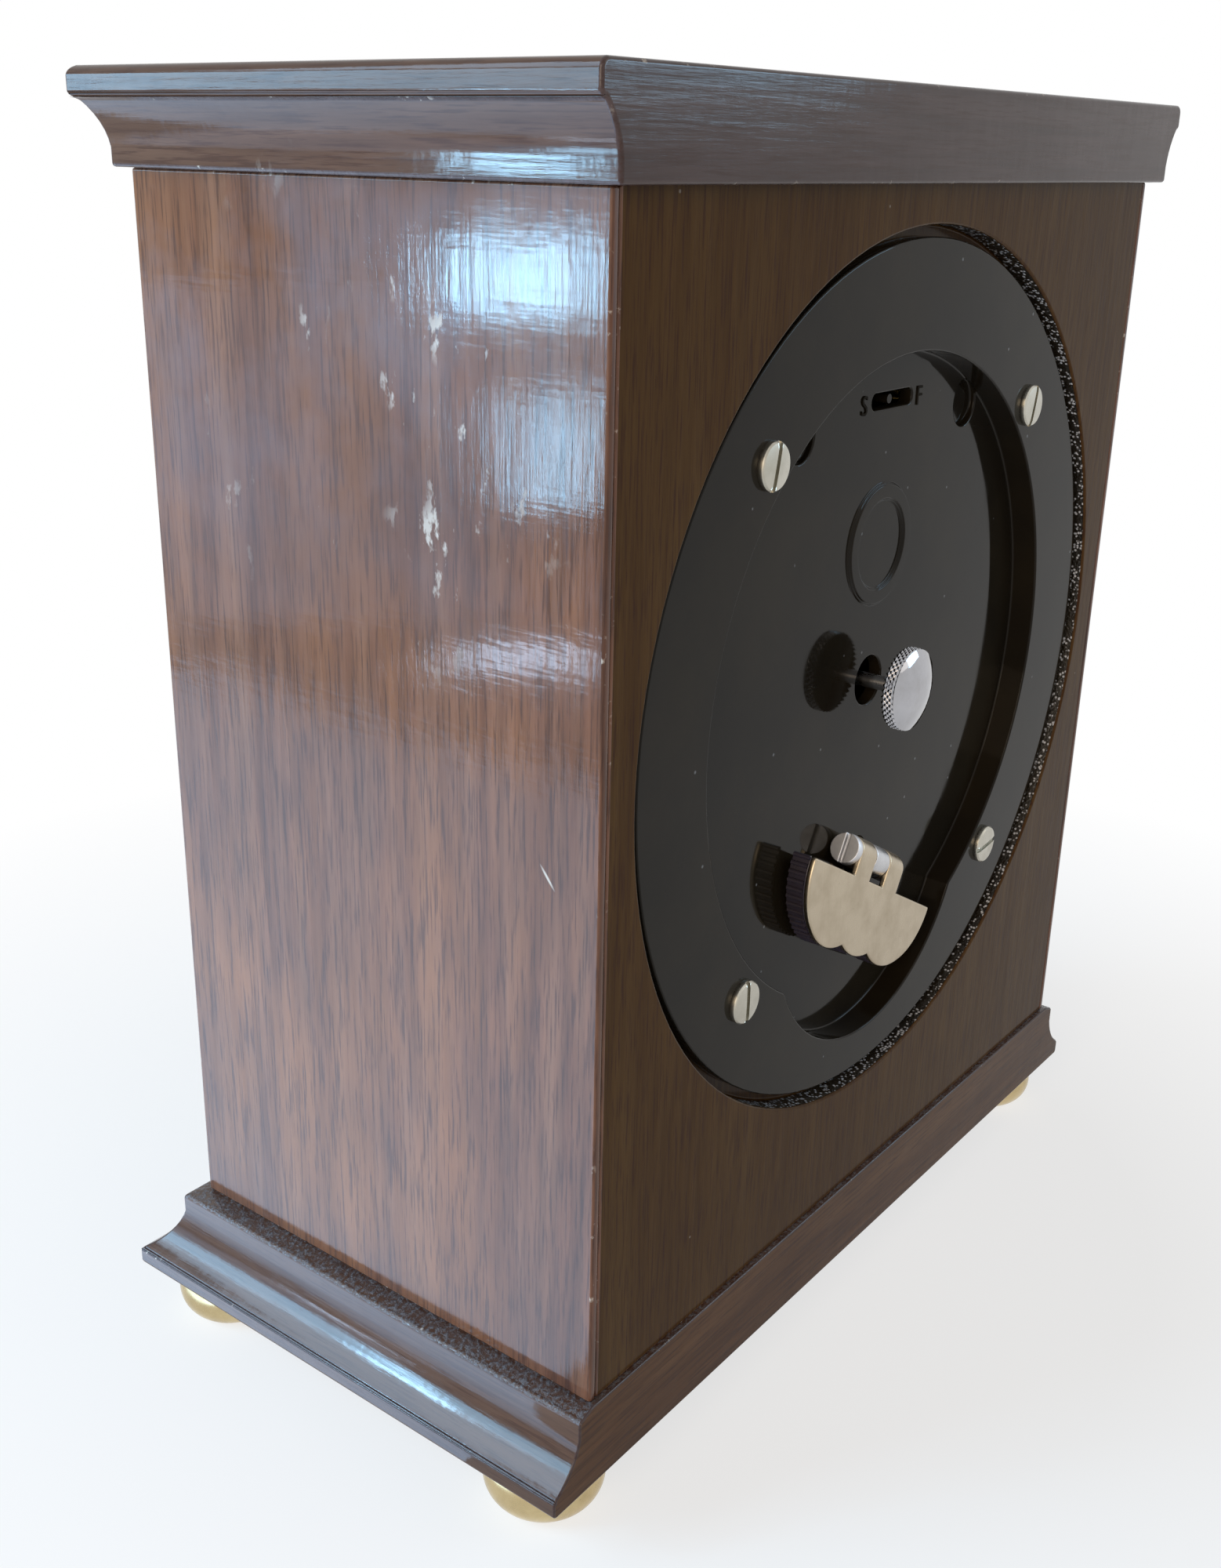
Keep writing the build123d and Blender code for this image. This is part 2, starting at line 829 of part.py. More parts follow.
cock_post = polar(balance, cock_post_distance, cock_post_angle)
click_place = polar(winding, click_distance, click_angle)
back_blank = movement_plate(back_plate_y, pivot_holes + [(winding, winding_radius)])
hairspring_end = hairspring_start + hairspring_pitch * hairspring_turns + hairspring_thickness / 2
stud_place = polar(balance, hairspring_end + stud_gap + stud_radius, 0)
stud_length = back_plate_y - train_y - hairspring_at
with BuildPart() as back_plate:
    add(back_blank.part)
    with BuildSketch(back_plane(back_plate_y)):
        with Locations(click_place):
            Circle(click_screw_radius)
        with Locations(cock_post):
            Circle(cock_post_radius / 2)
    extrude(amount=plate_thickness, mode=Mode.SUBTRACT)
    with BuildSketch(back_plane(back_plate_y - stud_length)):
        with Locations(stud_place):
            Circle(stud_radius)
    extrude(amount=stud_length)
    with BuildSketch(back_plane(back_plate_outer_y)):
        with Locations(balance):
            Circle(index_boss_radius)
    extrude(amount=index_boss)
finish(back_plate, "back_plate")

# Barrel with its great wheel, lid and mainspring
great_y = train_y + great_wheel_at
barrel_y = great_y + great_thickness
lid_y = barrel_y + barrel_depth
with BuildPart() as barrel:
    with BuildSketch(back_plane(great_y, winding)):
        with BuildLine():
            Polyline(*gear_points(great_teeth, great_module, bearing(winding, intermediate)), close=True)
        make_face()
        Circle(winding_radius + running, mode=Mode.SUBTRACT)
    extrude(amount=great_thickness)
    with BuildSketch(back_plane(barrel_y, winding)):
        Circle(barrel_radius)
        Circle(barrel_radius - barrel_wall, mode=Mode.SUBTRACT)
    extrude(amount=barrel_depth)
finish(barrel, "barrel")

lid_section = half_section([(lid_y, lid_y + barrel_lid, barrel_radius)], winding_radius + running)
barrel_cover = turned(winding, lid_section)
finish(barrel_cover, "barrel_cover")

mainspring_start = winding_radius + mainspring_gap + mainspring_thickness / 2
mainspring_end = barrel_radius - barrel_wall - mainspring_gap - mainspring_thickness / 2
mainspring = spiral(
    winding,
    barrel_y + layer_gap,
    barrel_depth - 2 * layer_gap,
    mainspring_start,
    (mainspring_end - mainspring_start) / mainspring_turns,
    mainspring_turns,
    mainspring_thickness,
)
finish(mainspring, "mainspring")

# Winding arbor, ending in the cross hub of the folding key
ratchet_y = back_plate_outer_y + layer_gap


def key_plane(y):
    """Return a plane facing the back on the winding axis, with its x along the key's wing."""
    return back_plane(y, winding, key_turn)


def pivot_plane(along):
    """Return a plane across the key's pivot, a distance along it."""
    flat = key_plane(pivot_y)
    return Plane(origin=flat.origin + flat.x_dir * along, x_dir=(0, 1, 0), z_dir=flat.x_dir)


arbor_steps = [
    (front_plate_y, train_y + layer_gap, winding_pivot_radius),
    (train_y + layer_gap, ratchet_y + ratchet_thickness, winding_radius),
    (ratchet_y + ratchet_thickness, floor_front_y - layer_gap, winding_back_radius),
    (floor_front_y - layer_gap, pivot_y, key_shaft_radius),
]
with BuildPart() as winding_arbor:
    with BuildSketch(turning_plane(winding)):
        with BuildLine():
            Polyline(*half_section(arbor_steps), close=True)
        make_face()
    revolve(axis=turning_axis(winding))
    with BuildSketch(pivot_plane(-hub_half_length)):
        Circle(hub_radius)
    extrude(amount=2 * hub_half_length)
    with BuildSketch(pivot_plane(-hub_half_length)):
        Circle(pivot_radius + running)
    extrude(amount=2 * hub_half_length, mode=Mode.SUBTRACT)
finish(winding_arbor, "winding_arbor")

# Folding key: pressed wing with two knuckles, its grip pad and pivot screw
knuckle_start = hub_half_length + knuckle_gap
knuckle_end = knuckle_start + knuckle_length


def wing_lobes():
    """Draw the lobed edge of the wing from one shoulder round to the other."""
    spots = [
        (wing_half_length, wing_shoulder),
        (wing_bulge_along, wing_bulge_out),
        (wing_end_along, wing_end_out),
        (wing_lobe_along, wing_lobe_out),
        (wing_valley_along, wing_valley_out),
    ]
    for side in (1, -1):
        at = [(side * along, -out) for along, out in spots]
        ThreePointArc(at[0], at[1], at[2])
        ThreePointArc(at[2], at[3], at[4])
    valley = (wing_valley_along, -wing_valley_out)
    ThreePointArc(valley, (0, -wing_middle), (-wing_valley_along, -wing_valley_out))


with BuildPart() as key_wing:
    with BuildSketch(key_plane(wing_y)):
        with BuildLine():
            wing_lobes()
            Line((-wing_half_length, -wing_shoulder), (wing_half_length, -wing_shoulder))
        make_face()
        for leg in (-1, 1):
            with Locations((leg * (knuckle_start + knuckle_end) / 2, -wing_shoulder / 2)):
                Rectangle(knuckle_length, wing_shoulder)
    extrude(amount=wing_thickness)
    for knuckle_at in (-knuckle_end, knuckle_start):
        with BuildSketch(pivot_plane(knuckle_at)):
            Circle(knuckle_radius)
        extrude(amount=knuckle_length)
        with BuildSketch(pivot_plane(knuckle_at)):
            Circle(pivot_radius)
        extrude(amount=knuckle_length, mode=Mode.SUBTRACT)
finish(key_wing, "key_wing")

with BuildPart() as key_grip:
    with BuildSketch(key_plane(grip_y)):
        with BuildLine():
            wing_lobes()
            Line((-wing_half_length, -wing_shoulder), (wing_half_length, -wing_shoulder))
        make_face()
        offset(amount=-grip_inset, kind=Kind.INTERSECTION)
    extrude(amount=wing_y - grip_y)
finish(key_grip, "key_grip")

with BuildPart() as key_pivot_screw:
    with BuildSketch(pivot_plane(-knuckle_end)):
        Circle(pivot_radius)
    extrude(amount=2 * knuckle_end)
    with BuildSketch(pivot_plane(-knuckle_end - pivot_head)):
        Circle(pivot_head_radius)
    extrude(amount=pivot_head)
    with BuildSketch(pivot_plane(-knuckle_end - pivot_head)):
        Rectangle(pivot_slot, 3 * pivot_head_radius)
    extrude(amount=pivot_slot, mode=Mode.SUBTRACT)
finish(key_pivot_screw, "key_pivot_screw")

# Ratchet, click, click spring and click screw on the outside of the back plate
click_tip_angle = bearing(winding, polar(winding, ratchet_radius, 0))
ratchet_outline = saw_points(ratchet_teeth, ratchet_radius, ratchet_depth, click_tip_angle - 2.0, 0.05)
finish(wheel(winding, ratchet_y, ratchet_thickness, ratchet_outline, winding_radius), "ratchet_wheel")

click_reach = ratchet_radius + click_clear
boss = (click_place[0] - winding[0], click_place[1] - winding[1])
with BuildPart() as click:
    with BuildSketch(back_plane(ratchet_y, winding)):
        with Locations(boss):
            Circle(click_boss_radius)
        with BuildLine():
            Polyline(
                (click_reach, 0),
                (boss[0] - click_boss_radius + click_clear, boss[1]),
                (boss[0] + click_boss_radius - click_clear, boss[1]),
                (click_reach + click_width, -click_width / 2),
                close=True,
            )
        make_face()
        with Locations(boss):
            Circle(click_screw_radius + running, mode=Mode.SUBTRACT)
    extrude(amount=ratchet_thickness)
finish(click, "click")

click_screw = turned(
    click_place,
    half_section(
        [
            (back_plate_y, ratchet_y + ratchet_thickness + layer_gap, click_screw_radius),
            (
                ratchet_y + ratchet_thickness + layer_gap,
                ratchet_y + ratchet_thickness + layer_gap + click_screw_head,
                click_boss_radius,
            ),
        ]
    ),
)
finish(click_screw, "click_screw")

spring_u = click_reach + click_width + click_spring_gap
with BuildPart() as click_spring:
    with BuildSketch(back_plane(back_plate_outer_y, winding)):
        with Locations((spring_u + click_spring_foot / 2, -2 * click_spring_foot)):
            Rectangle(click_spring_foot, 2 * click_spring_foot)
    extrude(amount=ratchet_thickness + layer_gap)
    with BuildSketch(back_plane(ratchet_y, winding)):
        with BuildLine():
            Polyline(
                (spring_u, -2 * click_spring_foot),
                (spring_u + click_spring_width, -2 * click_spring_foot),
                (boss[0] + click_boss_radius + click_spring_gap + click_spring_width, boss[1] / 2),
                (boss[0] + click_boss_radius + click_spring_gap, boss[1] / 2),
                close=True,
            )
        make_face()
    extrude(amount=ratchet_thickness)
finish(click_spring, "click_spring")

# Going train: each brass wheel rides on its steel arbor
centre_wheel_y = train_y + centre_wheel_at
intermediate_wheel_y = train_y + intermediate_wheel_at
third_wheel_y = train_y + third_wheel_at
fourth_wheel_y = train_y + fourth_wheel_at
escape_wheel_y = train_y + escape_wheel_at
leaf_length = wheel_thickness + 2 * pinion_overhang


def train_steps(radius, pivot):
    """Return the steps of an arbor that runs from plate to plate on two pivots."""
    return [
        (front_plate_y, train_y + shake, pivot),
        (train_y + shake, back_plate_y - shake, radius),
        (back_plate_y - shake, back_plate_outer_y, pivot),
    ]


centre_pinion = pinion_arbor(
    centre,
    train_steps(centre_sleeve_radius, centre_pivot_radius),
    intermediate_wheel_y - pinion_overhang,
    leaf_length,
    gear_points(centre_leaves, intermediate_module, bearing(centre, intermediate), tooth=False),
    bore=stem_radius + running,
)
finish(centre_pinion, "centre_pinion")
centre_wheel = wheel(
    centre,
    centre_wheel_y,
    wheel_thickness,
    gear_points(centre_teeth, centre_module, bearing(centre, third)),
    centre_sleeve_radius,
    5,
    centre_teeth * centre_module / 3.4,
    centre_teeth * centre_module / 8.5,
)
finish(centre_wheel, "centre_wheel")

intermediate_arbor = pinion_arbor(
    intermediate,
    train_steps(intermediate_arbor_radius, heavy_pivot_radius),
    great_y - pinion_overhang,
    great_thickness + 2 * pinion_overhang,
    gear_points(intermediate_leaves, great_module, bearing(intermediate, winding), tooth=False),
)
finish(intermediate_arbor, "intermediate_arbor")
intermediate_wheel = wheel(
    intermediate,
    intermediate_wheel_y,
    wheel_thickness,
    gear_points(intermediate_teeth, intermediate_module, bearing(intermediate, centre)),
    intermediate_arbor_radius,
    5,
    intermediate_teeth * intermediate_module / 3.4,
    intermediate_teeth * intermediate_module / 8.5,
)
finish(intermediate_wheel, "intermediate_wheel")

third_arbor = pinion_arbor(
    third,
    train_steps(third_arbor_radius, train_pivot_radius),
    centre_wheel_y - pinion_overhang,
    leaf_length,
    gear_points(third_leaves, centre_module, bearing(third, centre), tooth=False),
)
finish(third_arbor, "third_arbor")
third_wheel = wheel(
    third,
    third_wheel_y,
    wheel_thickness,
    gear_points(third_teeth, third_module, bearing(third, fourth)),
    third_arbor_radius,
    5,
    third_teeth * third_module / 3.4,
    third_teeth * third_module / 8.5,
)
finish(third_wheel, "third_wheel")

fourth_arbor = pinion_arbor(
    fourth,
    train_steps(fourth_arbor_radius, train_pivot_radius),
    third_wheel_y - pinion_overhang,
    leaf_length,
    gear_points(fourth_leaves, third_module, bearing(fourth, third), tooth=False),
)
finish(fourth_arbor, "fourth_arbor")
fourth_wheel = wheel(
    fourth,
    fourth_wheel_y,
    wheel_thickness,
    gear_points(fourth_teeth, fourth_module, bearing(fourth, escape)),
    fourth_arbor_radius,
    5,
    fourth_teeth * fourth_module / 3.4,
    fourth_teeth * fourth_module / 8.5,
)
finish(fourth_wheel, "fourth_wheel")

escape_arbor = pinion_arbor(
    escape,
    train_steps(escape_arbor_radius, train_pivot_radius),
    fourth_wheel_y - pinion_overhang,
    leaf_length,
    gear_points(escape_leaves, fourth_module, bearing(escape, fourth), tooth=False),
)
finish(escape_arbor, "escape_arbor")
escape_outline = saw_points(escape_teeth, escape_radius, escape_depth, bearing(escape, lever), 0.3)
finish(wheel(escape, escape_wheel_y, escape_thickness, escape_outline, escape_arbor_radius), "escape_wheel")

# Lever: an arm concentric with the escape wheel, two pallets and a fork
lever_turn = bearing(escape, lever)
pallet_inner = escape_radius + pallet_gap
cock_y = train_y + pallet_cock_at
with BuildPart() as pallet_lever:
    with BuildSketch(back_plane(escape_wheel_y, escape, lever_turn)):
        with BuildLine():
            arm_inner = pallet_inner + pallet_arm / 2
            arm_outer = arm_inner + pallet_arm
            low = polar(centre, arm_inner, -pallet_span)
            high = polar(centre, arm_inner, pallet_span)
            low_out = polar(centre, arm_outer, -pallet_span)
            high_out = polar(centre, arm_outer, pallet_span)
            ThreePointArc(low, (arm_inner, 0), high)
            Line(high, high_out)
            ThreePointArc(high_out, (arm_outer, 0), low_out)
            Line(low_out, low)
        make_face()
        pallet_at = pallet_inner + pallet_arm / 2
        with PolarLocations(pallet_at, 2, -pallet_span, 2 * pallet_span, endpoint=True):
            Rectangle(pallet_arm, pallet_arm)
        fork_end = escape_distance - roller_radius - fork_clear
        with Locations(((arm_inner + fork_end) / 2, 0)):
            Rectangle(fork_end - arm_inner, lever_width)
    extrude(amount=lever_thickness)
    with BuildSketch(turning_plane(lever)):
        with BuildLine():
            Polyline(
                *half_section(
                    [
                        (front_plate_y, train_y + shake, train_pivot_radius),
                        (train_y + shake, cock_y - shake, lever_arbor_radius),
                        (cock_y - shake, cock_y + cock_thickness, train_pivot_radius),
                    ]
                ),
                close=True,
            )
        make_face()
    revolve(axis=turning_axis(lever))
finish(pallet_lever, "pallet_lever")

with BuildPart() as pallet_cock:
    with BuildSketch(back_plane(cock_y)):
        cock_middle = ((cock_post[0] + lever[0]) / 2, (cock_post[1] + lever[1]) / 2)
        cock_length = hypot(cock_post[0] - lever[0], cock_post[1] - lever[1])
        with Locations(Location(cock_middle, bearing(lever, cock_post))):
            SlotCenterToCenter(cock_length, cock_width)
        with Locations(lever):
            Circle(train_pivot_radius + running, mode=Mode.SUBTRACT)
    extrude(amount=cock_thickness)
    with BuildSketch(back_plane(cock_y + cock_thickness)):
        with Locations(cock_post):
            Circle(cock_width / 2)
    extrude(amount=back_plate_y - cock_y - cock_thickness)
    with BuildSketch(back_plane(back_plate_y)):
        with Locations(cock_post):
            Circle(cock_post_radius / 2)
    extrude(amount=plate_thickness)
finish(pallet_cock, "pallet_cock")

# Balance, its staff with the roller, and the hairspring
balance_y = train_y + balance_at
with BuildPart() as balance_wheel:
    with BuildSketch(back_plane(balance_y, balance)):
        Circle(balance_radius)
        Circle(balance_radius - balance_rim, mode=Mode.SUBTRACT)
        Rectangle(2 * balance_radius - balance_rim, balance_arm)
        Circle(roller_radius)
        Circle(balance_staff_radius, mode=Mode.SUBTRACT)
    extrude(amount=balance_thickness)
finish(balance_wheel, "balance_wheel")

balance_staff = turned(
    balance,
    half_section(
        [
            (front_plate_y, train_y + shake, train_pivot_radius),
            (train_y + shake, escape_wheel_y, balance_staff_radius),
            (escape_wheel_y, escape_wheel_y + roller_thickness, roller_radius),
            (escape_wheel_y + roller_thickness, back_plate_y - shake, balance_staff_radius),
            (back_plate_y - shake, back_plate_outer_y - shake, train_pivot_radius),
        ]
    ),
)
finish(balance_staff, "balance_staff")

hairspring = spiral(
    balance,
    train_y + hairspring_at,
    hairspring_height,
    hairspring_start,
    hairspring_pitch,
    hairspring_turns,
    hairspring_thickness,
)
finish(hairspring, "hairspring")

# Regulator index, swinging on the balance boss and ending in the slot of the cover
index_y = back_plate_outer_y + shake
index_reach = hypot(slot_u - balance[0], slot_v - balance[1])
index_turn = bearing(balance, (slot_u, slot_v))
with BuildPart() as regulator_index:
    with BuildSketch(back_plane(index_y, balance, index_turn)):
        Circle(index_boss_radius + running + index_rim)
        with Locations((index_reach / 2, 0)):
            Rectangle(index_reach, index_width)
        with Locations((index_reach, 0)):
            Circle(index_width / 2)
        Circle(index_boss_radius + running, mode=Mode.SUBTRACT)
    extrude(amount=index_thickness)
    with BuildSketch(back_plane(index_y + index_thickness)):
        with Locations((slot_u, slot_v)):
            Circle(index_pin_radius)
    extrude(amount=floor_y - index_pin_sunk - index_y - index_thickness)
finish(regulator_index, "regulator_index")

# Motion work between the front plate and the dial
cannon_y = front_plate_y - cannon_at - motion_wheel
hour_y = front_plate_y - hour_wheel_at - motion_wheel
dial_y = mounting_y - dial_thickness
hour_hand_y = dial_y - hour_hand_rise - hand_thickness
minute_hand_y = hour_hand_y - hand_gap - hand_thickness
cannon_leaf = motion_wheel + 2 * pinion_overhang
cannon_pinion = pinion_arbor(
    centre,
    [(minute_hand_y, front_plate_y - shake, cannon_pipe_radius)],
    cannon_y - pinion_overhang,
    cannon_leaf,
    gear_points(cannon_teeth, cannon_module, bearing(centre, minute_place), tooth=False),
    bore=stem_radius,
)
finish(cannon_pinion, "cannon_pinion")

post_head_y = hour_y - pinion_overhang - layer_gap
minute_post = turned(
    minute_place,
    half_section(
        [
            (post_head_y - motion_wheel, post_head_y, minute_post_head),
            (post_head_y, front_plate_y + plate_thickness, minute_post_radius),
        ]
    ),
)
finish(minute_post, "minute_post")

minute_outline = gear_points(minute_teeth, cannon_module, bearing(minute_place, centre))
minute_leaf_outline = gear_points(minute_leaves, hour_module, bearing(minute_place, centre), tooth=False)
with BuildPart() as minute_wheel:
    with BuildSketch(back_plane(cannon_y, minute_place)):
        with BuildLine():
            Polyline(*minute_outline, close=True)
        make_face()
        Circle(minute_post_radius + running, mode=Mode.SUBTRACT)
    extrude(amount=motion_wheel)
    with BuildSketch(back_plane(hour_y - pinion_overhang, minute_place)):
        with BuildLine():
            Polyline(*minute_leaf_outline, close=True)
        make_face()
        Circle(minute_post_radius + running, mode=Mode.SUBTRACT)
    extrude(amount=cannon_y - hour_y + pinion_overhang)
finish(minute_wheel, "minute_wheel")

with BuildPart() as hour_wheel:
    with BuildSketch(back_plane(hour_y)):
        with BuildLine():
            Polyline(*gear_points(hour_teeth, hour_module, bearing(centre, minute_place)), close=True)
        make_face()
        Circle(cannon_pipe_radius + running, mode=Mode.SUBTRACT)
    extrude(amount=motion_wheel)
    with BuildSketch(back_plane(hour_hand_y)):
        Circle(hour_pipe_radius)
        Circle(cannon_pipe_radius + running, mode=Mode.SUBTRACT)
    extrude(amount=hour_y - hour_hand_y)
finish(hour_wheel, "hour_wheel")

# Centre arbor that joins the hands to the setting knob
knob_rim_y = knob_y + knob_band + knob_rim_rise
knob_top_y = knob_y + knob_band + knob_dome
nut_y = minute_hand_y - hand_nut
set_arbor = turned(centre, half_section([(nut_y, knob_y + knob_socket, stem_radius)]))
finish(set_arbor, "set_arbor")

with BuildPart() as set_knob:
    with BuildSketch(turning_plane(centre)):
        with BuildLine():
            Polyline(
                (0, knob_y + knob_socket),
                (stem_radius, knob_y + knob_socket),
                (stem_radius, knob_y),
                (knob_radius, knob_y),
                (knob_radius, knob_y + knob_band),
            )
            ThreePointArc(
                (knob_radius, knob_y + knob_band),
                (knob_radius - diagonal * knob_rim_round, knob_rim_y - diagonal * knob_rim_rise),
                (knob_radius - knob_rim_round, knob_rim_y),
            )
            Polyline((knob_radius - knob_rim_round, knob_rim_y), (0, knob_top_y), (0, knob_y + knob_socket))
        make_face()
    revolve(axis=turning_axis(centre))
finish(set_knob, "set_knob")


def hand(y, boss_bore, length, width, turn):
    """Cut a tapering baton hand, turned clockwise from twelve as seen from the front."""
    with BuildPart() as piece:
        with BuildSketch(back_plane(y, turn=turn)):
            Circle(hand_boss_radius)
            with BuildLine():
                Polyline(
                    (-width / 2, -hand_tail),
                    (width / 2, -hand_tail),
                    (width / 2, length / 2),
                    (hand_tip_width / 2, length),
                    (-hand_tip_width / 2, length),
                    (-width / 2, length / 2),
                    close=True,
                )
            make_face()
            Circle(boss_bore, mode=Mode.SUBTRACT)
        extrude(amount=hand_thickness)
    return piece


minute_angle = shown_minutes / 60 * 360
hour_angle = (shown_hours + shown_minutes / 60) / 12 * 360
hour_hand_piece = hand(hour_hand_y, hour_pipe_radius, hour_hand_length, hour_hand_width, hour_angle)
finish(hour_hand_piece, "hour_hand")
minute_hand_piece = hand(
    minute_hand_y, cannon_pipe_radius, minute_hand_length, minute_hand_width, minute_angle
)
finish(minute_hand_piece, "minute_hand")
hand_nut_piece = turned(centre, half_section([(nut_y, minute_hand_y, hand_nut_radius)], stem_radius))
finish(hand_nut_piece, "hand_nut")

# Mounting plate behind the dial, dial, bezel and domed glass
with BuildPart() as mounting_plate_piece:
    with BuildSketch(back_plane(mounting_y)):
        Circle(mounting_plate_radius)
        Circle(hour_pipe_radius + dial_hole_clearance, mode=Mode.SUBTRACT)
        with Locations(*pillar_places):
            Circle(spigot_radius, mode=Mode.SUBTRACT)
    extrude(amount=mounting_plate)
finish(mounting_plate_piece, "mounting_plate")

dial_section = half_section([(dial_y, mounting_y, dial_radius)], hour_pipe_radius + dial_hole_clearance)
finish(turned(centre, dial_section), "dial")

sleeve_outer = dial_hole_radius - bezel_fit
sleeve_inner = sleeve_outer - bezel_sleeve
glass_radius = sleeve_inner - glass_fit
glass_y = front_y - glass_seat
bezel_front_y = front_y - bezel_rise
with BuildPart() as bezel:
    with BuildSketch(turning_plane(centre)):
        with BuildLine():
            Polyline(
                (bezel_radius, front_y),
                (sleeve_outer, front_y),
                (sleeve_outer, dial_y),
                (sleeve_inner, dial_y),
                (sleeve_inner, glass_y),
                (sleeve_inner, glass_y - glass_thickness),
                (sleeve_inner - bezel_lip / 2, glass_y - glass_thickness),
                (sleeve_inner - bezel_lip / 2, bezel_front_y),
                (sleeve_outer, bezel_front_y),
            )
            ThreePointArc(
                (sleeve_outer, bezel_front_y),
                (
                    sleeve_outer + (1 - diagonal) * (bezel_radius - sleeve_outer),
                    bezel_front_y + diagonal * bezel_rise,
                ),
                (bezel_radius, front_y),
            )
        make_face()
    revolve(axis=turning_axis(centre))
finish(bezel, "bezel")

lip_radius = sleeve_inner - bezel_lip / 2
dome_reach = lip_radius - bezel_fit
dome_curve = (dome_reach**2 + glass_dome**2) / (2 * glass_dome)
dome_middle_y = glass_y - glass_dome + dome_curve - sqrt(dome_curve**2 - (dome_reach / 2) ** 2)
with BuildPart() as glass:
    with BuildSketch(turning_plane(centre)):
        with BuildLine():
            Line((0, glass_y - glass_dome), (0, glass_y - glass_dome - glass_thickness))
            ThreePointArc(
                (0, glass_y - glass_dome - glass_thickness),
                (dome_reach / 2, dome_middle_y - glass_thickness),
                (dome_reach, glass_y - glass_thickness),
            )
            Polyline(
                (dome_reach, glass_y - glass_thickness),
                (glass_radius, glass_y - glass_thickness),
                (glass_radius, glass_y),
                (dome_reach, glass_y),
            )
            ThreePointArc(
                (dome_reach, glass_y),
                (dome_reach / 2, dome_middle_y),
                (0, glass_y - glass_dome),
            )
        make_face()
    revolve(axis=turning_axis(centre))
finish(glass, "glass")
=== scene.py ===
"""Looks of a rectangular mahogany mantel clock seen from behind.

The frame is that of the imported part: +Z up, X across the clock and +Y towards the back. Finishes,
lamps and the floor are in metres, sizes of pieces and the place of the camera in millimetres.
Places on the back are given as seen from behind: u to the right and v up from the centre arbor.
"""

import json
import logging
from dataclasses import dataclass
from enum import Enum
from functools import cached_property, reduce
from math import cos, pi, radians, sin, sqrt

import bmesh
import bpy
from mathutils import Matrix, Vector


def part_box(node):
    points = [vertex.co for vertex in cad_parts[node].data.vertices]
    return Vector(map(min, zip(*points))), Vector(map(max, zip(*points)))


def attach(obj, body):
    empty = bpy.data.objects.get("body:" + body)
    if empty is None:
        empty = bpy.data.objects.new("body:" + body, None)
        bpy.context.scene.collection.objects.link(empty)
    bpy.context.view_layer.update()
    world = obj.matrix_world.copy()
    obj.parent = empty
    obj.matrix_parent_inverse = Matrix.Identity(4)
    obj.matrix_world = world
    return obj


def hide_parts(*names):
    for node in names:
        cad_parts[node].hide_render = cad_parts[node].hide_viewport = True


Material = bpy.types.Material
Mesh = bpy.types.Mesh
Node = bpy.types.Node
Piece = bpy.types.Object
Socket = bpy.types.NodeSocket
Colour = tuple[float, float, float, float]
Triple = tuple[float, float, float]
Pair = tuple[float, float]

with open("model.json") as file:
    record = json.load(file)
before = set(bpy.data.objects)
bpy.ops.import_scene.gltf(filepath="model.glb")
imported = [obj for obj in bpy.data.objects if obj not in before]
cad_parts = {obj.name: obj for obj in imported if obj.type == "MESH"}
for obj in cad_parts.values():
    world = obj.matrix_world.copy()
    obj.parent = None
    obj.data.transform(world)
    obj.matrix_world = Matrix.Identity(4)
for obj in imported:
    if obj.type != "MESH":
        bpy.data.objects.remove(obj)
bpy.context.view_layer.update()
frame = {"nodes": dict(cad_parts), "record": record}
LOG = logging.getLogger("clock")
MM = 0.001
FRONT_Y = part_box("case_front")[0].y / MM
BACK_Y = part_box("case_back")[1].y / MM
BODY_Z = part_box("case_back")[0].z / MM
CENTRE_Z = (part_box("dial")[0].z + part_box("dial")[1].z) / 2 / MM
WHITE = (1, 1, 1, 1)
MERGE = 1e-7
COLLAPSE = 1e-8


class Grain(Enum):
    """The way the grain of a board runs, as a stretch of its pattern."""

    UPRIGHT = (1.0, 1.0, 0.05)
    ACROSS = (0.05, 1.0, 1.0)
    DEEP = (1.0, 0.05, 1.0)


def behind(u: float, v: float, y: float) -> Vector:
    """Return a point on the back in metres, from its u, v and y in millimetres."""
    return Vector((-u * MM, y * MM, (CENTRE_Z + v) * MM))


def facing(u: float, v: float, y: float, turn: float = 0.0, front: bool = False) -> Matrix:
    """Return the place of a flat piece whose own z faces the back or the front.

    Args:
        u: millimetres to the right of the centre arbor, seen from behind.
        v: millimetres above the centre arbor.
        y: millimetres along the front-to-back axis.
        turn: anticlockwise turn in degrees, seen from the side that it faces.
        front: whether the piece faces the front.

    Returns:
        A matrix from the piece's own axes to the part's frame.
    """
    side = 1.0 if front else -1.0
    axes = Matrix(((side, 0, 0, 0), (0, 0, -side, 0), (0, 1, 0, 0), (0, 0, 0, 1)))
    return Matrix.Translation(behind(u, v, y)) @ axes @ Matrix.Rotation(radians(turn), 4, "Z")


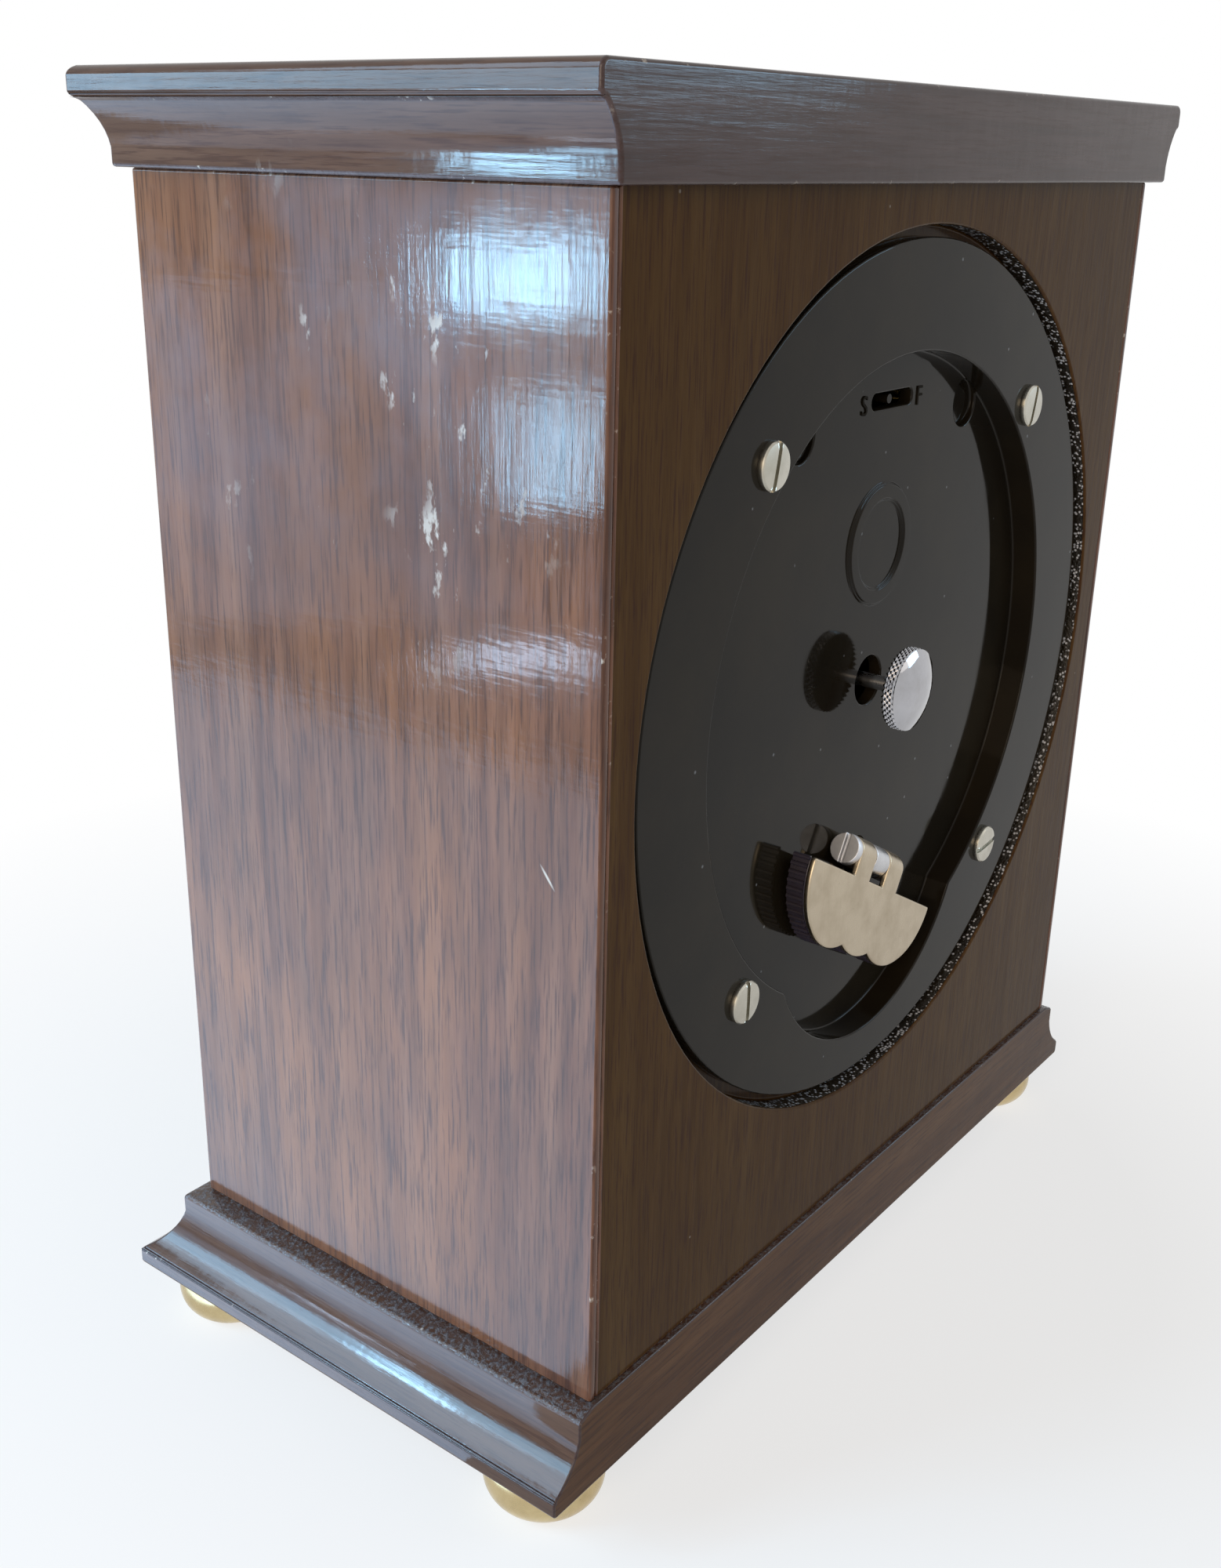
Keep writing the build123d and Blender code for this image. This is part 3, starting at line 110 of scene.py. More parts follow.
class Nodes:
    """A node tree with short calls for nodes and links."""

    SEEN_RAYS = "Is Camera Ray", "Is Glossy Ray", "Is Transmission Ray"

    def __init__(self, tree: bpy.types.NodeTree) -> None:
        """Keep the tree at hand."""
        self.tree = tree

    def feed(self, socket: Socket, source: object) -> None:
        """Feed an input.

        Args:
            socket: the input.
            source: a socket to link it to, or a plain value.
        """
        if isinstance(source, Socket):
            self.tree.links.new(source, socket)
        else:
            socket.default_value = source

    def node(self, kind: str, links: dict | None = None, **values: object) -> Node:
        """Add a node.

        Args:
            kind: the node's type.
            links: what feeds its inputs, by input name or number.
            values: properties of the node.

        Returns:
            The new node.
        """
        made = self.tree.nodes.new(kind)
        for key, value in values.items():
            setattr(made, key, value)
        for key, source in (links or {}).items():
            self.feed(made.inputs[key], source)
        return made

    def math(self, how: str, first: object, second: object = 0.0) -> Socket:
        """Return the result of a sum on two values."""
        return self.node("ShaderNodeMath", {0: first, 1: second}, operation=how).outputs[0]

    def chain(self, how: str, *values: object) -> Socket:
        """Return the result of a sum run through several values in order."""
        return reduce(lambda whole, value: self.math(how, whole, value), values)

    def xyz(self, x: object = 0.0, y: object = 0.0, z: object = 0.0) -> Socket:
        """Return a vector of three values."""
        return self.node("ShaderNodeCombineXYZ", {0: x, 1: y, 2: z}).outputs[0]

    def ramp(self, source: Socket, span: Pair, result: Pair = (0.0, 1.0)) -> Socket:
        """Return a value stretched from one span to another and held there."""
        links = {0: source, 1: span[0], 2: span[1], 3: result[0], 4: result[1]}
        return self.node("ShaderNodeMapRange", links).outputs[0]

    def seen(self) -> Socket:
        """Return 1 on rays from the eye, a mirror or glass, and 0 on rays that only light."""
        path = self.node("ShaderNodeLightPath").outputs
        return self.chain("MAXIMUM", *(path[ray] for ray in self.SEEN_RAYS))


@dataclass(frozen=True)
class Cloud:
    """A noise pattern, the span of it that is used and what that span becomes."""

    scale: float
    detail: float
    span: Pair = (0.0, 1.0)
    result: Pair = (0.0, 1.0)
    stretch: Triple | None = None
    roughness: float = 0.6


class Graph(Nodes):
    """The node tree of a new material."""

    SPECK_CORE = 0.6
    STROKE_CORE = 0.4
    STROKE_STRETCH = (1.0, 0.12, 1.0)

    def __init__(self, name: str) -> None:
        """Start a material with a surface shader, in the object's own coordinates.

        Args:
            name: name of the material.
        """
        self.material = bpy.data.materials.new(name)
        self.material.use_nodes = True
        super().__init__(self.material.node_tree)
        self.shader = self.tree.nodes["Principled BSDF"]
        self.place = self.node("ShaderNodeTexCoord").outputs["Object"]

    def mapped(self, place: Socket, **how: Triple) -> Socket:
        """Return coordinates turned or stretched."""
        return self.node("ShaderNodeMapping", {"Vector": place, **how}).outputs[0]

    def noise(self, cloud: Cloud, stretch: Triple | None = None) -> Socket:
        """Return the noise of a cloud.

        Args:
            cloud: the cloud.
            stretch: a stretch in place of its own.

        Returns:
            The noise, from 0 to 1.
        """
        scale = stretch or cloud.stretch
        place = self.mapped(self.place, Scale=scale) if scale else self.place
        links = {"Vector": place, "Scale": cloud.scale, "Detail": cloud.detail}
        links["Roughness"] = cloud.roughness
        return self.node("ShaderNodeTexNoise", links).outputs["Fac"]

    def cloud(self, cloud: Cloud, top: float | None = None, stretch: Triple | None = None) -> Socket:
        """Return what the used span of a cloud becomes."""
        result = cloud.result if top is None else (0.0, top)
        return self.ramp(self.noise(cloud, stretch), cloud.span, result)

    def mix(self, share: object, first: object, second: object) -> Socket:
        """Return two colours mixed by a share."""
        links = {0: share, 6: first, 7: second}
        return self.node("ShaderNodeMix", links, data_type="RGBA").outputs[2]

    def marks(self, scale: float, size: float, share: float, lean: float | None = None) -> Socket:
        """Return sparse round specks, or straight scratches on a face that looks sideways.

        Args:
            scale: cells per metre.
            size: radius of a speck, or half the width of a scratch, as a share of its cell.
            share: share of the cells that hold a mark.
            lean: lean of the scratches in degrees, or None for specks.

        Returns:
            A mask that is 1 on a mark.
        """
        place, core, space = self.place, self.SPECK_CORE, "3D"
        if lean is not None:
            split = self.node("ShaderNodeSeparateXYZ", {0: place}).outputs
            place = self.mapped(self.xyz(split[1], split[2]), Rotation=(0, 0, radians(lean)))
            place = self.mapped(place, Scale=self.STROKE_STRETCH)
            core, space = self.STROKE_CORE, "2D"
        links = {"Vector": place, "Scale": scale, "Randomness": 1.0}
        cells = self.node("ShaderNodeTexVoronoi", links, voronoi_dimensions=space).outputs
        near = self.ramp(cells["Distance"], (size * core, size), (1.0, 0.0))
        picked = self.node("ShaderNodeSeparateColor", {0: cells["Color"]}).outputs[0]
        return self.math("MULTIPLY", near, self.math("LESS_THAN", picked, share))

    def near(self, point: Triple, radii: Pair) -> Socket:
        """Return a mask that is 1 within the first radius of a point and 0 past the second."""
        away = self.node("ShaderNodeVectorMath", {0: self.place, 1: point}, operation="DISTANCE")
        return self.ramp(away.outputs["Value"], radii, (1.0, 0.0))

    def bump(self, height: Socket, depth: float, strength: float = 1.0) -> None:
        """Add relief to the shader's normal.

        Args:
            height: the relief, from 0 to 1.
            depth: its depth in metres.
            strength: share of it that shows.
        """
        normal = self.shader.inputs["Normal"]
        links = {"Height": height, "Distance": depth, "Strength": strength}
        if normal.links:
            links["Normal"] = normal.links[0].from_socket
        self.feed(normal, self.node("ShaderNodeBump", links).outputs[0])

    def shade(self, inputs: dict[str, object]) -> Material:
        """Feed the shader.

        Args:
            inputs: what feeds its inputs, by name.

        Returns:
            The material.
        """
        for name, source in inputs.items():
            self.feed(self.shader.inputs[name], source)
        return self.material


@dataclass(frozen=True)
class LacqueredMahogany:
    """Mahogany under old glossy lacquer, with grain, pores, scratches and bloom."""

    name: str
    grain: Grain = Grain.UPRIGHT
    dark: Colour = (0.062, 0.023, 0.012, 1)
    warm: Colour = (0.220, 0.095, 0.052, 1)
    pale: Colour = (0.330, 0.172, 0.104, 1)
    pore: Colour = (0.045, 0.018, 0.012, 1)
    ember: Colour = (0.255, 0.095, 0.034, 1)
    # Purple-grey of a painted reflection haze on the upper part of the boards
    milk: Colour = (0.165, 0.150, 0.175, 1)
    chip: Colour = (0.50, 0.42, 0.35, 1)
    dust: Colour = (0.15, 0.16, 0.18, 1)
    streak_span: Pair = (0.30, 0.70)
    ember_share: float = 0.0
    shade_share: float = 0.45
    pore_share: float = 0.7
    milk_share: float = 0.0
    chip_share: float = 0.0
    scratch_share: float = 0.0
    ior: float = 1.35
    worn_roughness: float = 0.3
    milk_heights: Pair = (0.100, 0.145)
    dust_from: float = 1.0
    bloom_at: Triple = (0.0655, 0.004, 0.135)
    bloom_radii: Pair = (0.016, 0.032)

    STREAKS = Cloud(820, 6)
    FIGURE = Cloud(170, 4, (0.45, 0.75), (0.0, 0.7))
    EMBERS = Cloud(46, 4, (0.46, 0.64), stretch=(1.0, 1.0, 0.30))
    SHADES = Cloud(21, 3, (0.35, 0.80))
    PORES = Cloud(2600, 3, (0.50, 0.64))
    MILK = Cloud(34, 5, (0.42, 0.64))
    GRIT = Cloud(1900, 5, (0.44, 0.68), (0.0, 0.75))
    POLISH = Cloud(38, 4, (0.2, 0.8), (0.05, 0.17))
    BLOOM = Cloud(420, 4, (0.60, 0.66), stretch=(1.0, 1.0, 0.5))
    BLOOM_PATCHES = Cloud(70, 1, (0.49, 0.58), (0.0, 0.75))
    CHIP_PLACES = Cloud(75, 2, (0.50, 0.60))
    CHIP_EDGES = Cloud(900, 5, (0.60, 0.68))
    WAVES = Cloud(30, 1), 0.0005, 0.25
    RIPPLES = Cloud(240, 3, stretch=(1.0, 1.0, 0.5)), 0.00004, 1.0
    BRUSHING = Cloud(900, 2, stretch=(0.12, 0.12, 1.0)), 0.00001, 1.0
    STREAK_DEPTH = 0.00003
    GRIT_DEPTH = 0.00008
    SPECKS = (95, 0.03, 0.12), (310, 0.07, 0.02)
    SCRATCHES = (70, 0.02, 64), (90, 0.02, -38)

    def material(self) -> Material:
        """Make the finish.

        Returns:
            The material.
        """
        g = Graph(self.name)
        along = self.grain.value
        streaks = g.noise(self.STREAKS, along)
        tone = g.mix(g.ramp(streaks, self.streak_span), self.dark, self.warm)
        tone = g.mix(g.cloud(self.FIGURE, stretch=along), tone, self.pale)
        tone = g.mix(g.cloud(self.EMBERS, self.ember_share), tone, self.ember)
        tone = g.mix(g.cloud(self.SHADES, self.shade_share), tone, self.dark)
        tone = g.mix(g.cloud(self.PORES, self.pore_share, along), tone, self.pore)
        height = g.node("ShaderNodeSeparateXYZ", {0: g.place}).outputs[2]
        # Painted reflection haze: a milky purple-grey in clouds, fading in towards the top of the board,
        # for the hazy reflection there
        painted_haze_mask = g.cloud(self.MILK, self.milk_share)
        painted_haze_mask = g.math("MULTIPLY", g.ramp(height, self.milk_heights), painted_haze_mask)
        tone = g.mix(painted_haze_mask, tone, self.milk)
        worn = self.wear(g)
        tone = g.mix(worn, tone, self.chip)
        dusty = g.math("GREATER_THAN", height, self.dust_from)
        grit = g.math("MULTIPLY", dusty, g.cloud(self.GRIT))
        rough = g.math("MULTIPLY", g.math("MAXIMUM", worn, grit), self.worn_roughness)
        for cloud, depth, strength in (self.WAVES, self.RIPPLES, self.BRUSHING):
            g.bump(g.noise(cloud), depth, strength)
        g.bump(streaks, self.STREAK_DEPTH)
        g.bump(grit, self.GRIT_DEPTH)
        return g.shade({
            "Base Color": g.mix(grit, tone, self.dust),
            "Roughness": g.math("ADD", g.cloud(self.POLISH), rough),
            "IOR": self.ior,
        })

    def wear(self, g: Graph) -> Socket:
        """Return the wear of the lacquer.

        Args:
            g: the finish's node tree.

        Returns:
            A mask of specks, scratches and bloom, and of chips where the finish is on an edge.
        """
        marks = [g.marks(*speck) for speck in self.SPECKS]
        for scale, size, lean in self.SCRATCHES:
            marks.append(g.marks(scale, size, self.scratch_share, lean))
        bloom = g.cloud(self.BLOOM), g.cloud(self.BLOOM_PATCHES)
        marks.append(g.chain("MULTIPLY", *bloom, g.near(self.bloom_at, self.bloom_radii)))
        if self.chip_share:
            chips = g.cloud(self.CHIP_PLACES), g.cloud(self.CHIP_EDGES)
            marks.append(g.chain("MULTIPLY", *chips, self.chip_share))
        return g.chain("MAXIMUM", *marks)


@dataclass(frozen=True)
class BlackMoulding:
    """Glossy black moulded resin with dust and fine polish marks."""

    name: str
    colour: Colour = (0.0125, 0.0095, 0.0062, 1)
    roughness: Pair = (0.04, 0.11)
    ior: float = 1.19
    dust: float = 0.5
    faded: Colour = (0.025, 0.018, 0.010, 1)
    mote_scale: float = 430.0
    mote_size: float = 0.11
    mote_share: float = 0.10
    mote_colour: Colour = (0.30, 0.30, 0.31, 1)
    grit: float = 0.0

    SWIRLS = Cloud(240, 5, (0.35, 0.7), stretch=(1.0, 1.0, 0.3))
    FADING = Cloud(55, 4, (0.4, 0.7), (0.0, 0.6))
    WAVES = Cloud(70, 2), 0.0001, 0.25
    GRAINS = Cloud(2400, 3)

    def material(self) -> Material:
        """Make the finish.

        Returns:
            The material.
        """
        g = Graph(self.name)
        tone = g.mix(g.cloud(self.FADING), self.colour, self.faded)
        motes = g.marks(self.mote_scale, self.mote_size, self.mote_share)
        tone = g.mix(g.math("MULTIPLY", motes, self.dust), tone, self.mote_colour)
        rough = g.ramp(g.noise(self.SWIRLS), self.SWIRLS.span, self.roughness)
        cloud, depth, strength = self.WAVES
        g.bump(g.noise(cloud), depth, strength)
        g.bump(g.noise(self.GRAINS), self.grit)
        return g.shade({"Base Color": tone, "Roughness": rough, "IOR": self.ior})


@dataclass(frozen=True)
class WornMetal:
    """Plated or bare metal with tarnish clouds, fine scratches and small pits."""

    name: str
    colour: Colour
    tarnish: Colour
    roughness: Pair
    cover: float = 0.5

    CLOUDS = Cloud(210, 6, (0.42, 0.72))
    LINES = Cloud(1600, 3, stretch=(1.0, 0.4, 0.06))
    LINE_DEPTH = 0.00001
    DULLING = (0.3, 1.1)
    PITS = (900, 0.16, 0.12)
    PIT_TARNISH = 0.5

    def material(self) -> Material:
        """Make the finish.

        Returns:
            The material.
        """
        g = Graph(self.name)
        clouds, lines = g.cloud(self.CLOUDS, self.cover), g.noise(self.LINES)
        tone = g.mix(clouds, self.colour, self.tarnish)
        pits = g.math("MULTIPLY", g.marks(*self.PITS), self.PIT_TARNISH)
        rough = g.ramp(g.math("ADD", clouds, lines), self.DULLING, self.roughness)
        g.bump(lines, self.LINE_DEPTH)
        tone = g.mix(pits, tone, self.tarnish)
        return g.shade({"Base Color": tone, "Metallic": 1.0, "Roughness": rough})


@dataclass(frozen=True)
class Enamel:
    """Baked paint with a faint orange-peel surface and slight toning."""

    name: str
    colour: Colour
    toned: Colour
    roughness: float

    TONING = Cloud(60, 5, (0.4, 0.75))
    PEEL = Cloud(1400, 2)
    PEEL_DEPTH = 0.000012

    def material(self) -> Material:
        """Make the finish.

        Returns:
            The material.
        """
        g = Graph(self.name)
        tone = g.mix(g.cloud(self.TONING), self.colour, self.toned)
        g.bump(g.noise(self.PEEL), self.PEEL_DEPTH)
        return g.shade({"Base Color": tone, "Roughness": self.roughness})


@dataclass(frozen=True)
class ClearGlass:
    """Thin clear glass."""

    name: str
    colour: Colour = (0.97, 0.985, 0.98, 1)
    ior: float = 1.46

    def material(self) -> Material:
        """Make the finish and return its material."""
        clear = {"Transmission Weight": 1.0, "IOR": self.ior, "Roughness": 0.0}
        return Graph(self.name).shade({"Base Color": self.colour, **clear})


# Palettes of the boards, each dark, middle and pale
BROWN = (0.052, 0.022, 0.013, 1), (0.100, 0.047, 0.028, 1), (0.140, 0.074, 0.047, 1)
# Next palette: the back panel's mahogany, darker than the sides' as painted shade for the shade the back
# stands in
OLIVE_PAINTED_SHADE = (0.062, 0.028, 0.009, 1), (0.097, 0.048, 0.016, 1), (0.121, 0.065, 0.023, 1)
SLATE = (0.040, 0.021, 0.018, 1), (0.078, 0.045, 0.041, 1), (0.112, 0.072, 0.066, 1)
TAN = (0.068, 0.027, 0.011, 1), (0.132, 0.058, 0.024, 1), (0.180, 0.090, 0.040, 1)

# Other values of single finishes, or of several that share them
# Next: the chip colour of the back panel, darkened with its wood as painted shade
CHIP_PAINTED_SHADE = (0.22, 0.17, 0.13, 1)
# Next: the grip is black plastic, lightened and tinted plum here as a painted sheen for the purple
# reflections along its ribs
PLUM_PAINTED_SHEEN = (0.040, 0.034, 0.058, 1)
# The figured boards carry a share of painted reflection haze on their upper part
FIGURED = {
    "warm": (0.190, 0.074, 0.038, 1), "pale": (0.285, 0.134, 0.074, 1), "ember_share": 0.62,
    "shade_share": 0.8, "milk_share": 0.42, "streak_span": (0.21, 0.74), "pore_share": 0.68,
}
LEDGE = {"ior": 1.42, "dust_from": (BODY_Z - 1.2) * MM}
# Flecks of the ebonised wall: dust, made far brighter than the cover's so that it also stands in for
# glints along the wall, partly painted highlight
DUST_AND_GLINTS = {
    "dust": 0.9, "mote_scale": 2300.0, "mote_size": 0.55, "mote_share": 0.42,
    "mote_colour": (0.70, 0.71, 0.76, 1), "grit": 0.00015,
}


class Finish(Enum):
    """The finishes of the clock, each made once, when it is first used."""

    UPRIGHT = LacqueredMahogany("mahogany_upright", **FIGURED)
    HANDLED = LacqueredMahogany("mahogany_side", scratch_share=0.10, **FIGURED)
    # The back panel's finish: the same mahogany darkened as painted shade, with dimmer chips
    SHADED = LacqueredMahogany("mahogany_back_painted_shade", Grain.UPRIGHT, *OLIVE_PAINTED_SHADE, chip=CHIP_PAINTED_SHADE, ior=1.11)
    ACROSS = LacqueredMahogany("mahogany_across", Grain.ACROSS, *SLATE, ior=1.33)
    DEEP = LacqueredMahogany("mahogany_deep", Grain.DEEP, *BROWN, ior=1.33)
    PLINTH = LacqueredMahogany("mahogany_plinth", Grain.ACROSS, *BROWN, **LEDGE)
    PLINTH_DEEP = LacqueredMahogany("mahogany_plinth_deep", Grain.DEEP, *BROWN, **LEDGE)
    PLINTH_BACK = LacqueredMahogany("mahogany_plinth_back", Grain.ACROSS, *TAN, ior=1.15)
    WORN_EDGE = LacqueredMahogany("mahogany_worn_edge", chip_share=0.8)
    WORN_MOULDING = LacqueredMahogany("mahogany_worn_moulding", Grain.ACROSS, *SLATE, chip_share=0.9)
    MARK = BlackMoulding("sunk_mark", ior=1.06, dust=0.0)
    RESIN = BlackMoulding("black_resin")
    # The wall's bright flecks are dust and painted glints
    EBONISED = BlackMoulding("ebonised_wall", roughness=(0.2, 0.4), ior=1.5, **DUST_AND_GLINTS)
    # The grip's plum tint is painted sheen on black plastic
    GRIP = BlackMoulding("ribbed_grip_painted_sheen", PLUM_PAINTED_SHEEN, (0.2, 0.32), 1.5, 0.3)
    CHROME = WornMetal("polished_chrome", (0.4, 0.4, 0.42, 1), (0.22, 0.21, 0.2, 1), (0.03, 0.08), 0.4)
    NICKEL = WornMetal("dull_nickel", (0.47, 0.45, 0.39, 1), (0.26, 0.23, 0.17, 1), (0.22, 0.40))
    SCREW_STEEL = WornMetal("brushed_steel", (0.6, 0.6, 0.62, 1), (0.38, 0.37, 0.36, 1), (0.42, 0.60))
    STEEL = WornMetal("grey_steel", (0.52, 0.52, 0.53, 1), (0.30, 0.29, 0.28, 1), (0.22, 0.42))
    KEY_BRASS = WornMetal("pale_brass", (0.44, 0.37, 0.27, 1), (0.28, 0.22, 0.145, 1), (0.24, 0.42))
    FOOT_BRASS = WornMetal("dull_brass", (0.62, 0.49, 0.27, 1), (0.34, 0.25, 0.12, 1), (0.16, 0.34))
    BRASS = WornMetal("bright_brass", (0.8, 0.63, 0.33, 1), (0.58, 0.42, 0.2, 1), (0.16, 0.32), 0.4)
    DIAL = Enamel("silvered_face", (0.80, 0.78, 0.71, 1), (0.70, 0.66, 0.56, 1), 0.45)
    INK = Enamel("black_ink", (0.012, 0.012, 0.016, 1), (0.02, 0.02, 0.026, 1), 0.35)
    GLASS = ClearGlass("thin_glass")

    @cached_property
    def material(self) -> Material:
        """Return the finish's material."""
        return self.value.material()


def added(name: str, data: bpy.types.ID, *materials: Material) -> Piece:
    """Add an object at the origin.

    Args:
        name: name of the new object.
        data: its mesh or its text.
        materials: its materials, in the order of the mesh's material numbers.

    Returns:
        The new object.
    """
    data.materials.clear()
    for material in materials:
        data.materials.append(material)
    made = bpy.data.objects.new(name, data)
    bpy.context.scene.collection.objects.link(made)
    return made


def plain(piece: Piece) -> Piece:
    """Turn a piece with modifiers into a plain mesh.

    Args:
        piece: the piece.

    Returns:
        The same piece.
    """
    graph = bpy.context.evaluated_depsgraph_get()
    shown = piece.evaluated_get(graph)
    mesh = bpy.data.meshes.new_from_object(shown, preserve_all_data_layers=True, depsgraph=graph)
    piece.modifiers.clear()
    piece.data = mesh
    return piece


def to_mesh(name: str, shape: bmesh.types.BMesh) -> Mesh:
    """Turn a surface into a mesh and let the surface go.

    Args:
        name: name of the new mesh.
        shape: the surface.

    Returns:
        The new mesh.
    """
    mesh = bpy.data.meshes.new(name)
    shape.to_mesh(mesh)
    shape.free()
    return mesh


def ringed(profile: list[Pair], count: int) -> bmesh.types.BMesh:
    """Turn a profile about the z axis.

    Args:
        profile: points of radius and z, from axis to axis.
        count: steps round the axis.

    Returns:
        The surface, facing outwards.
    """
    shape = bmesh.new()
    turns = [2 * pi * step / count for step in range(count)]
    rings = [[shape.verts.new((r * cos(t), r * sin(t), z)) for r, z in profile] for t in turns]
    for one, two in zip(rings, rings[1:] + rings[:1]):
        for index in range(len(profile) - 1):
            shape.faces.new((one[index], two[index], two[index + 1], one[index + 1]))
    bmesh.ops.remove_doubles(shape, verts=shape.verts, dist=MERGE)
    bmesh.ops.dissolve_degenerate(shape, edges=shape.edges, dist=COLLAPSE)
    bmesh.ops.recalc_face_normals(shape, faces=shape.faces)
    return shape


def point_mesh(name: str, points: list[Vector], turns: list[float] | None = None) -> Mesh:
    """Return a mesh of loose points.

    Args:
        name: name of the new mesh.
        points: the points, in metres.
        turns: a turn for each point, in radians.

    Returns:
        The new mesh, with the turns as an attribute.
    """
    mesh = bpy.data.meshes.new(name)
    mesh.from_pydata(points, [], [])
    turn = mesh.attributes.new("turn", "FLOAT", "POINT")
    turn.data.foreach_set("value", turns or [0.0] * len(points))
    return mesh


class Repeats(Nodes):
    """A geometry tree that repeats one shape on points and ends in a plain mesh."""

    def __init__(self, name: str) -> None:
        """Start an empty tree with a mesh in and a mesh out.

        Args:
            name: name of the tree.
        """
        super().__init__(bpy.data.node_groups.new(name, "GeometryNodeTree"))
        for way in ("INPUT", "OUTPUT"):
            self.tree.interface.new_socket("Geometry", in_out=way, socket_type="NodeSocketGeometry")
        self.start = self.node("NodeGroupInput")
        self.end = self.node("NodeGroupOutput")
        self.values: dict[str, object] = {}

    def input(self, name: str, kind: str, value: object) -> Socket:
        """Add a named input.

        Args:
            name: name of the input.
            kind: type of its socket.
            value: the value that the modifier gives it.

        Returns:
            Its socket in the tree.
        """
        made = self.tree.interface.new_socket(name, in_out="INPUT", socket_type=f"NodeSocket{kind}")
        self.values[made.identifier] = value
        return self.start.outputs[name]

    def make(
        self, name: str, start: Mesh, points: Socket, shape: Socket, rotation: object, finish: Finish
    ) -> Piece:
        """End the tree with a shape on every point and run it.

        Args:
            name: name of the new object.
            start: the mesh that the tree starts from.
            points: the points in the tree.
            shape: the shape that is repeated.
            rotation: the turn of each shape.
            finish: the finish of the result.

        Returns:
            The new object, a plain mesh at the origin.
        """
        links = {0: points, "Instance": shape, "Rotation": rotation}
        copies = self.node("GeometryNodeInstanceOnPoints", links)
        real = self.node("GeometryNodeRealizeInstances", {0: copies.outputs[0]})
        material = self.input("Finish", "Material", finish.material)
        done = self.node("GeometryNodeSetMaterial", {0: real.outputs[0], "Material": material})
        self.feed(self.end.inputs[0], done.outputs[0])
        piece = added(name, start)
        work = piece.modifiers.new("repeats", "NODES")
        work.node_group = self.tree
        for identifier, value in self.values.items():
            work[identifier] = value
        bpy.context.view_layer.update()
        return plain(piece)


class Assembly:
    """A sub-assembly of the clock, with the ways in which its pieces are made."""

    WELD = 2e-6
    FLAT_ANGLE = 0.3
    LATHE_SHARP = 38
    CAPITAL_SHARE = 0.70
    LETTER_STEPS = 4

    def settle(self, piece: Piece, body: str, slot: str, *nodes: str) -> None:
        """Put a finished piece on its body.

        Args:
            piece: the finished object, at the origin.
            body: the body that it rides on.
            slot: the record's material slot of its finish; not used.
            nodes: the nodes that it stands for.
        """
        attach(piece, body)
        if nodes:
            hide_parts(*nodes)
        LOG.info("%s rides on %s", piece.name, body)

    def softened(
        self, node: str, width: float, *finishes: Finish, angle: float = 28.0, segments: int = 2
    ) -> Piece:
        """Return a copy of a node with its sharp edges rounded.

        Args:
            node: the node to copy.
            width: width of the rounding in millimetres.
            finishes: its finishes, the last of them on the rounded edges.
            angle: edges sharper than this, in degrees, are rounded.
            segments: steps across the rounding.

        Returns:
            The new object.
        """
        mesh = frame["nodes"][node].data.copy()
        shape = bmesh.new()
        shape.from_mesh(mesh)
        bmesh.ops.remove_doubles(shape, verts=shape.verts, dist=self.WELD)
        flat = radians(self.FLAT_ANGLE)
        bmesh.ops.dissolve_limit(shape, angle_limit=flat, verts=shape.verts, edges=shape.edges)
        for face in shape.faces:
            face.smooth = True
            face.material_index = 0
        shape.to_mesh(mesh)
        shape.free()
        piece = added(f"{node}_dressed", mesh, *(finish.material for finish in finishes))
        edge = piece.modifiers.new("edge", "BEVEL")
        edge.width = width * MM
        edge.segments = segments
        edge.limit_method = "ANGLE"
        edge.angle_limit = radians(angle)
        edge.use_clamp_overlap = False
        edge.material = len(finishes) - 1
        piece.modifiers.new("even", "WEIGHTED_NORMAL").keep_sharp = True
        return plain(piece)

    def dress(self, node: str, width: float, body: str, slot: str, *finishes: Finish) -> None:
        """Round the edges of a node and put the result on its body."""
        self.settle(self.softened(node, width, *finishes), body, slot, node)

    def lathe(self, name: str, profile: list[Pair], count: int, finish: Finish) -> Piece:
        """Turn a profile about the centre arbor.

        Args:
            name: name of the new object.
            profile: points of radius and y in millimetres, from axis to axis.
            count: steps round the axis.
            finish: its finish.

        Returns:
            The new object.
        """
        shape = ringed([(r * MM, y * MM) for r, y in profile], count)
        shape.transform(facing(0, 0, 0))
        for face in shape.faces:
            face.smooth = True
        mesh = to_mesh(name, shape)
        mesh.set_sharp_from_angle(angle=radians(self.LATHE_SHARP))
        return added(name, mesh, finish.material)

    def letters(
        self, name: str, text: str, height: float, rise: float, place: Matrix, finish: Finish
    ) -> Piece:
        """Return raised characters.

        Args:
            name: name of the new object.
            text: the characters.
            height: height of the capitals in millimetres.
            rise: height of the relief in millimetres.
            place: the place of their middle.
            finish: their finish.

        Returns:
            The new object, a plain mesh at the origin.
        """
        curve = bpy.data.curves.new(name, "FONT")
        curve.body = text
        curve.align_x = "CENTER"
        curve.align_y = "CENTER"
        curve.size = height * MM / self.CAPITAL_SHARE
        curve.extrude = rise * MM
        curve.resolution_u = self.LETTER_STEPS
        draft = added(f"{name}_draft", curve)
        bpy.context.view_layer.update()
        shown = draft.evaluated_get(bpy.context.evaluated_depsgraph_get())
        mesh = bpy.data.meshes.new_from_object(shown)
        bpy.data.objects.remove(draft)
        mesh.transform(place)
        return added(name, mesh, finish.material)


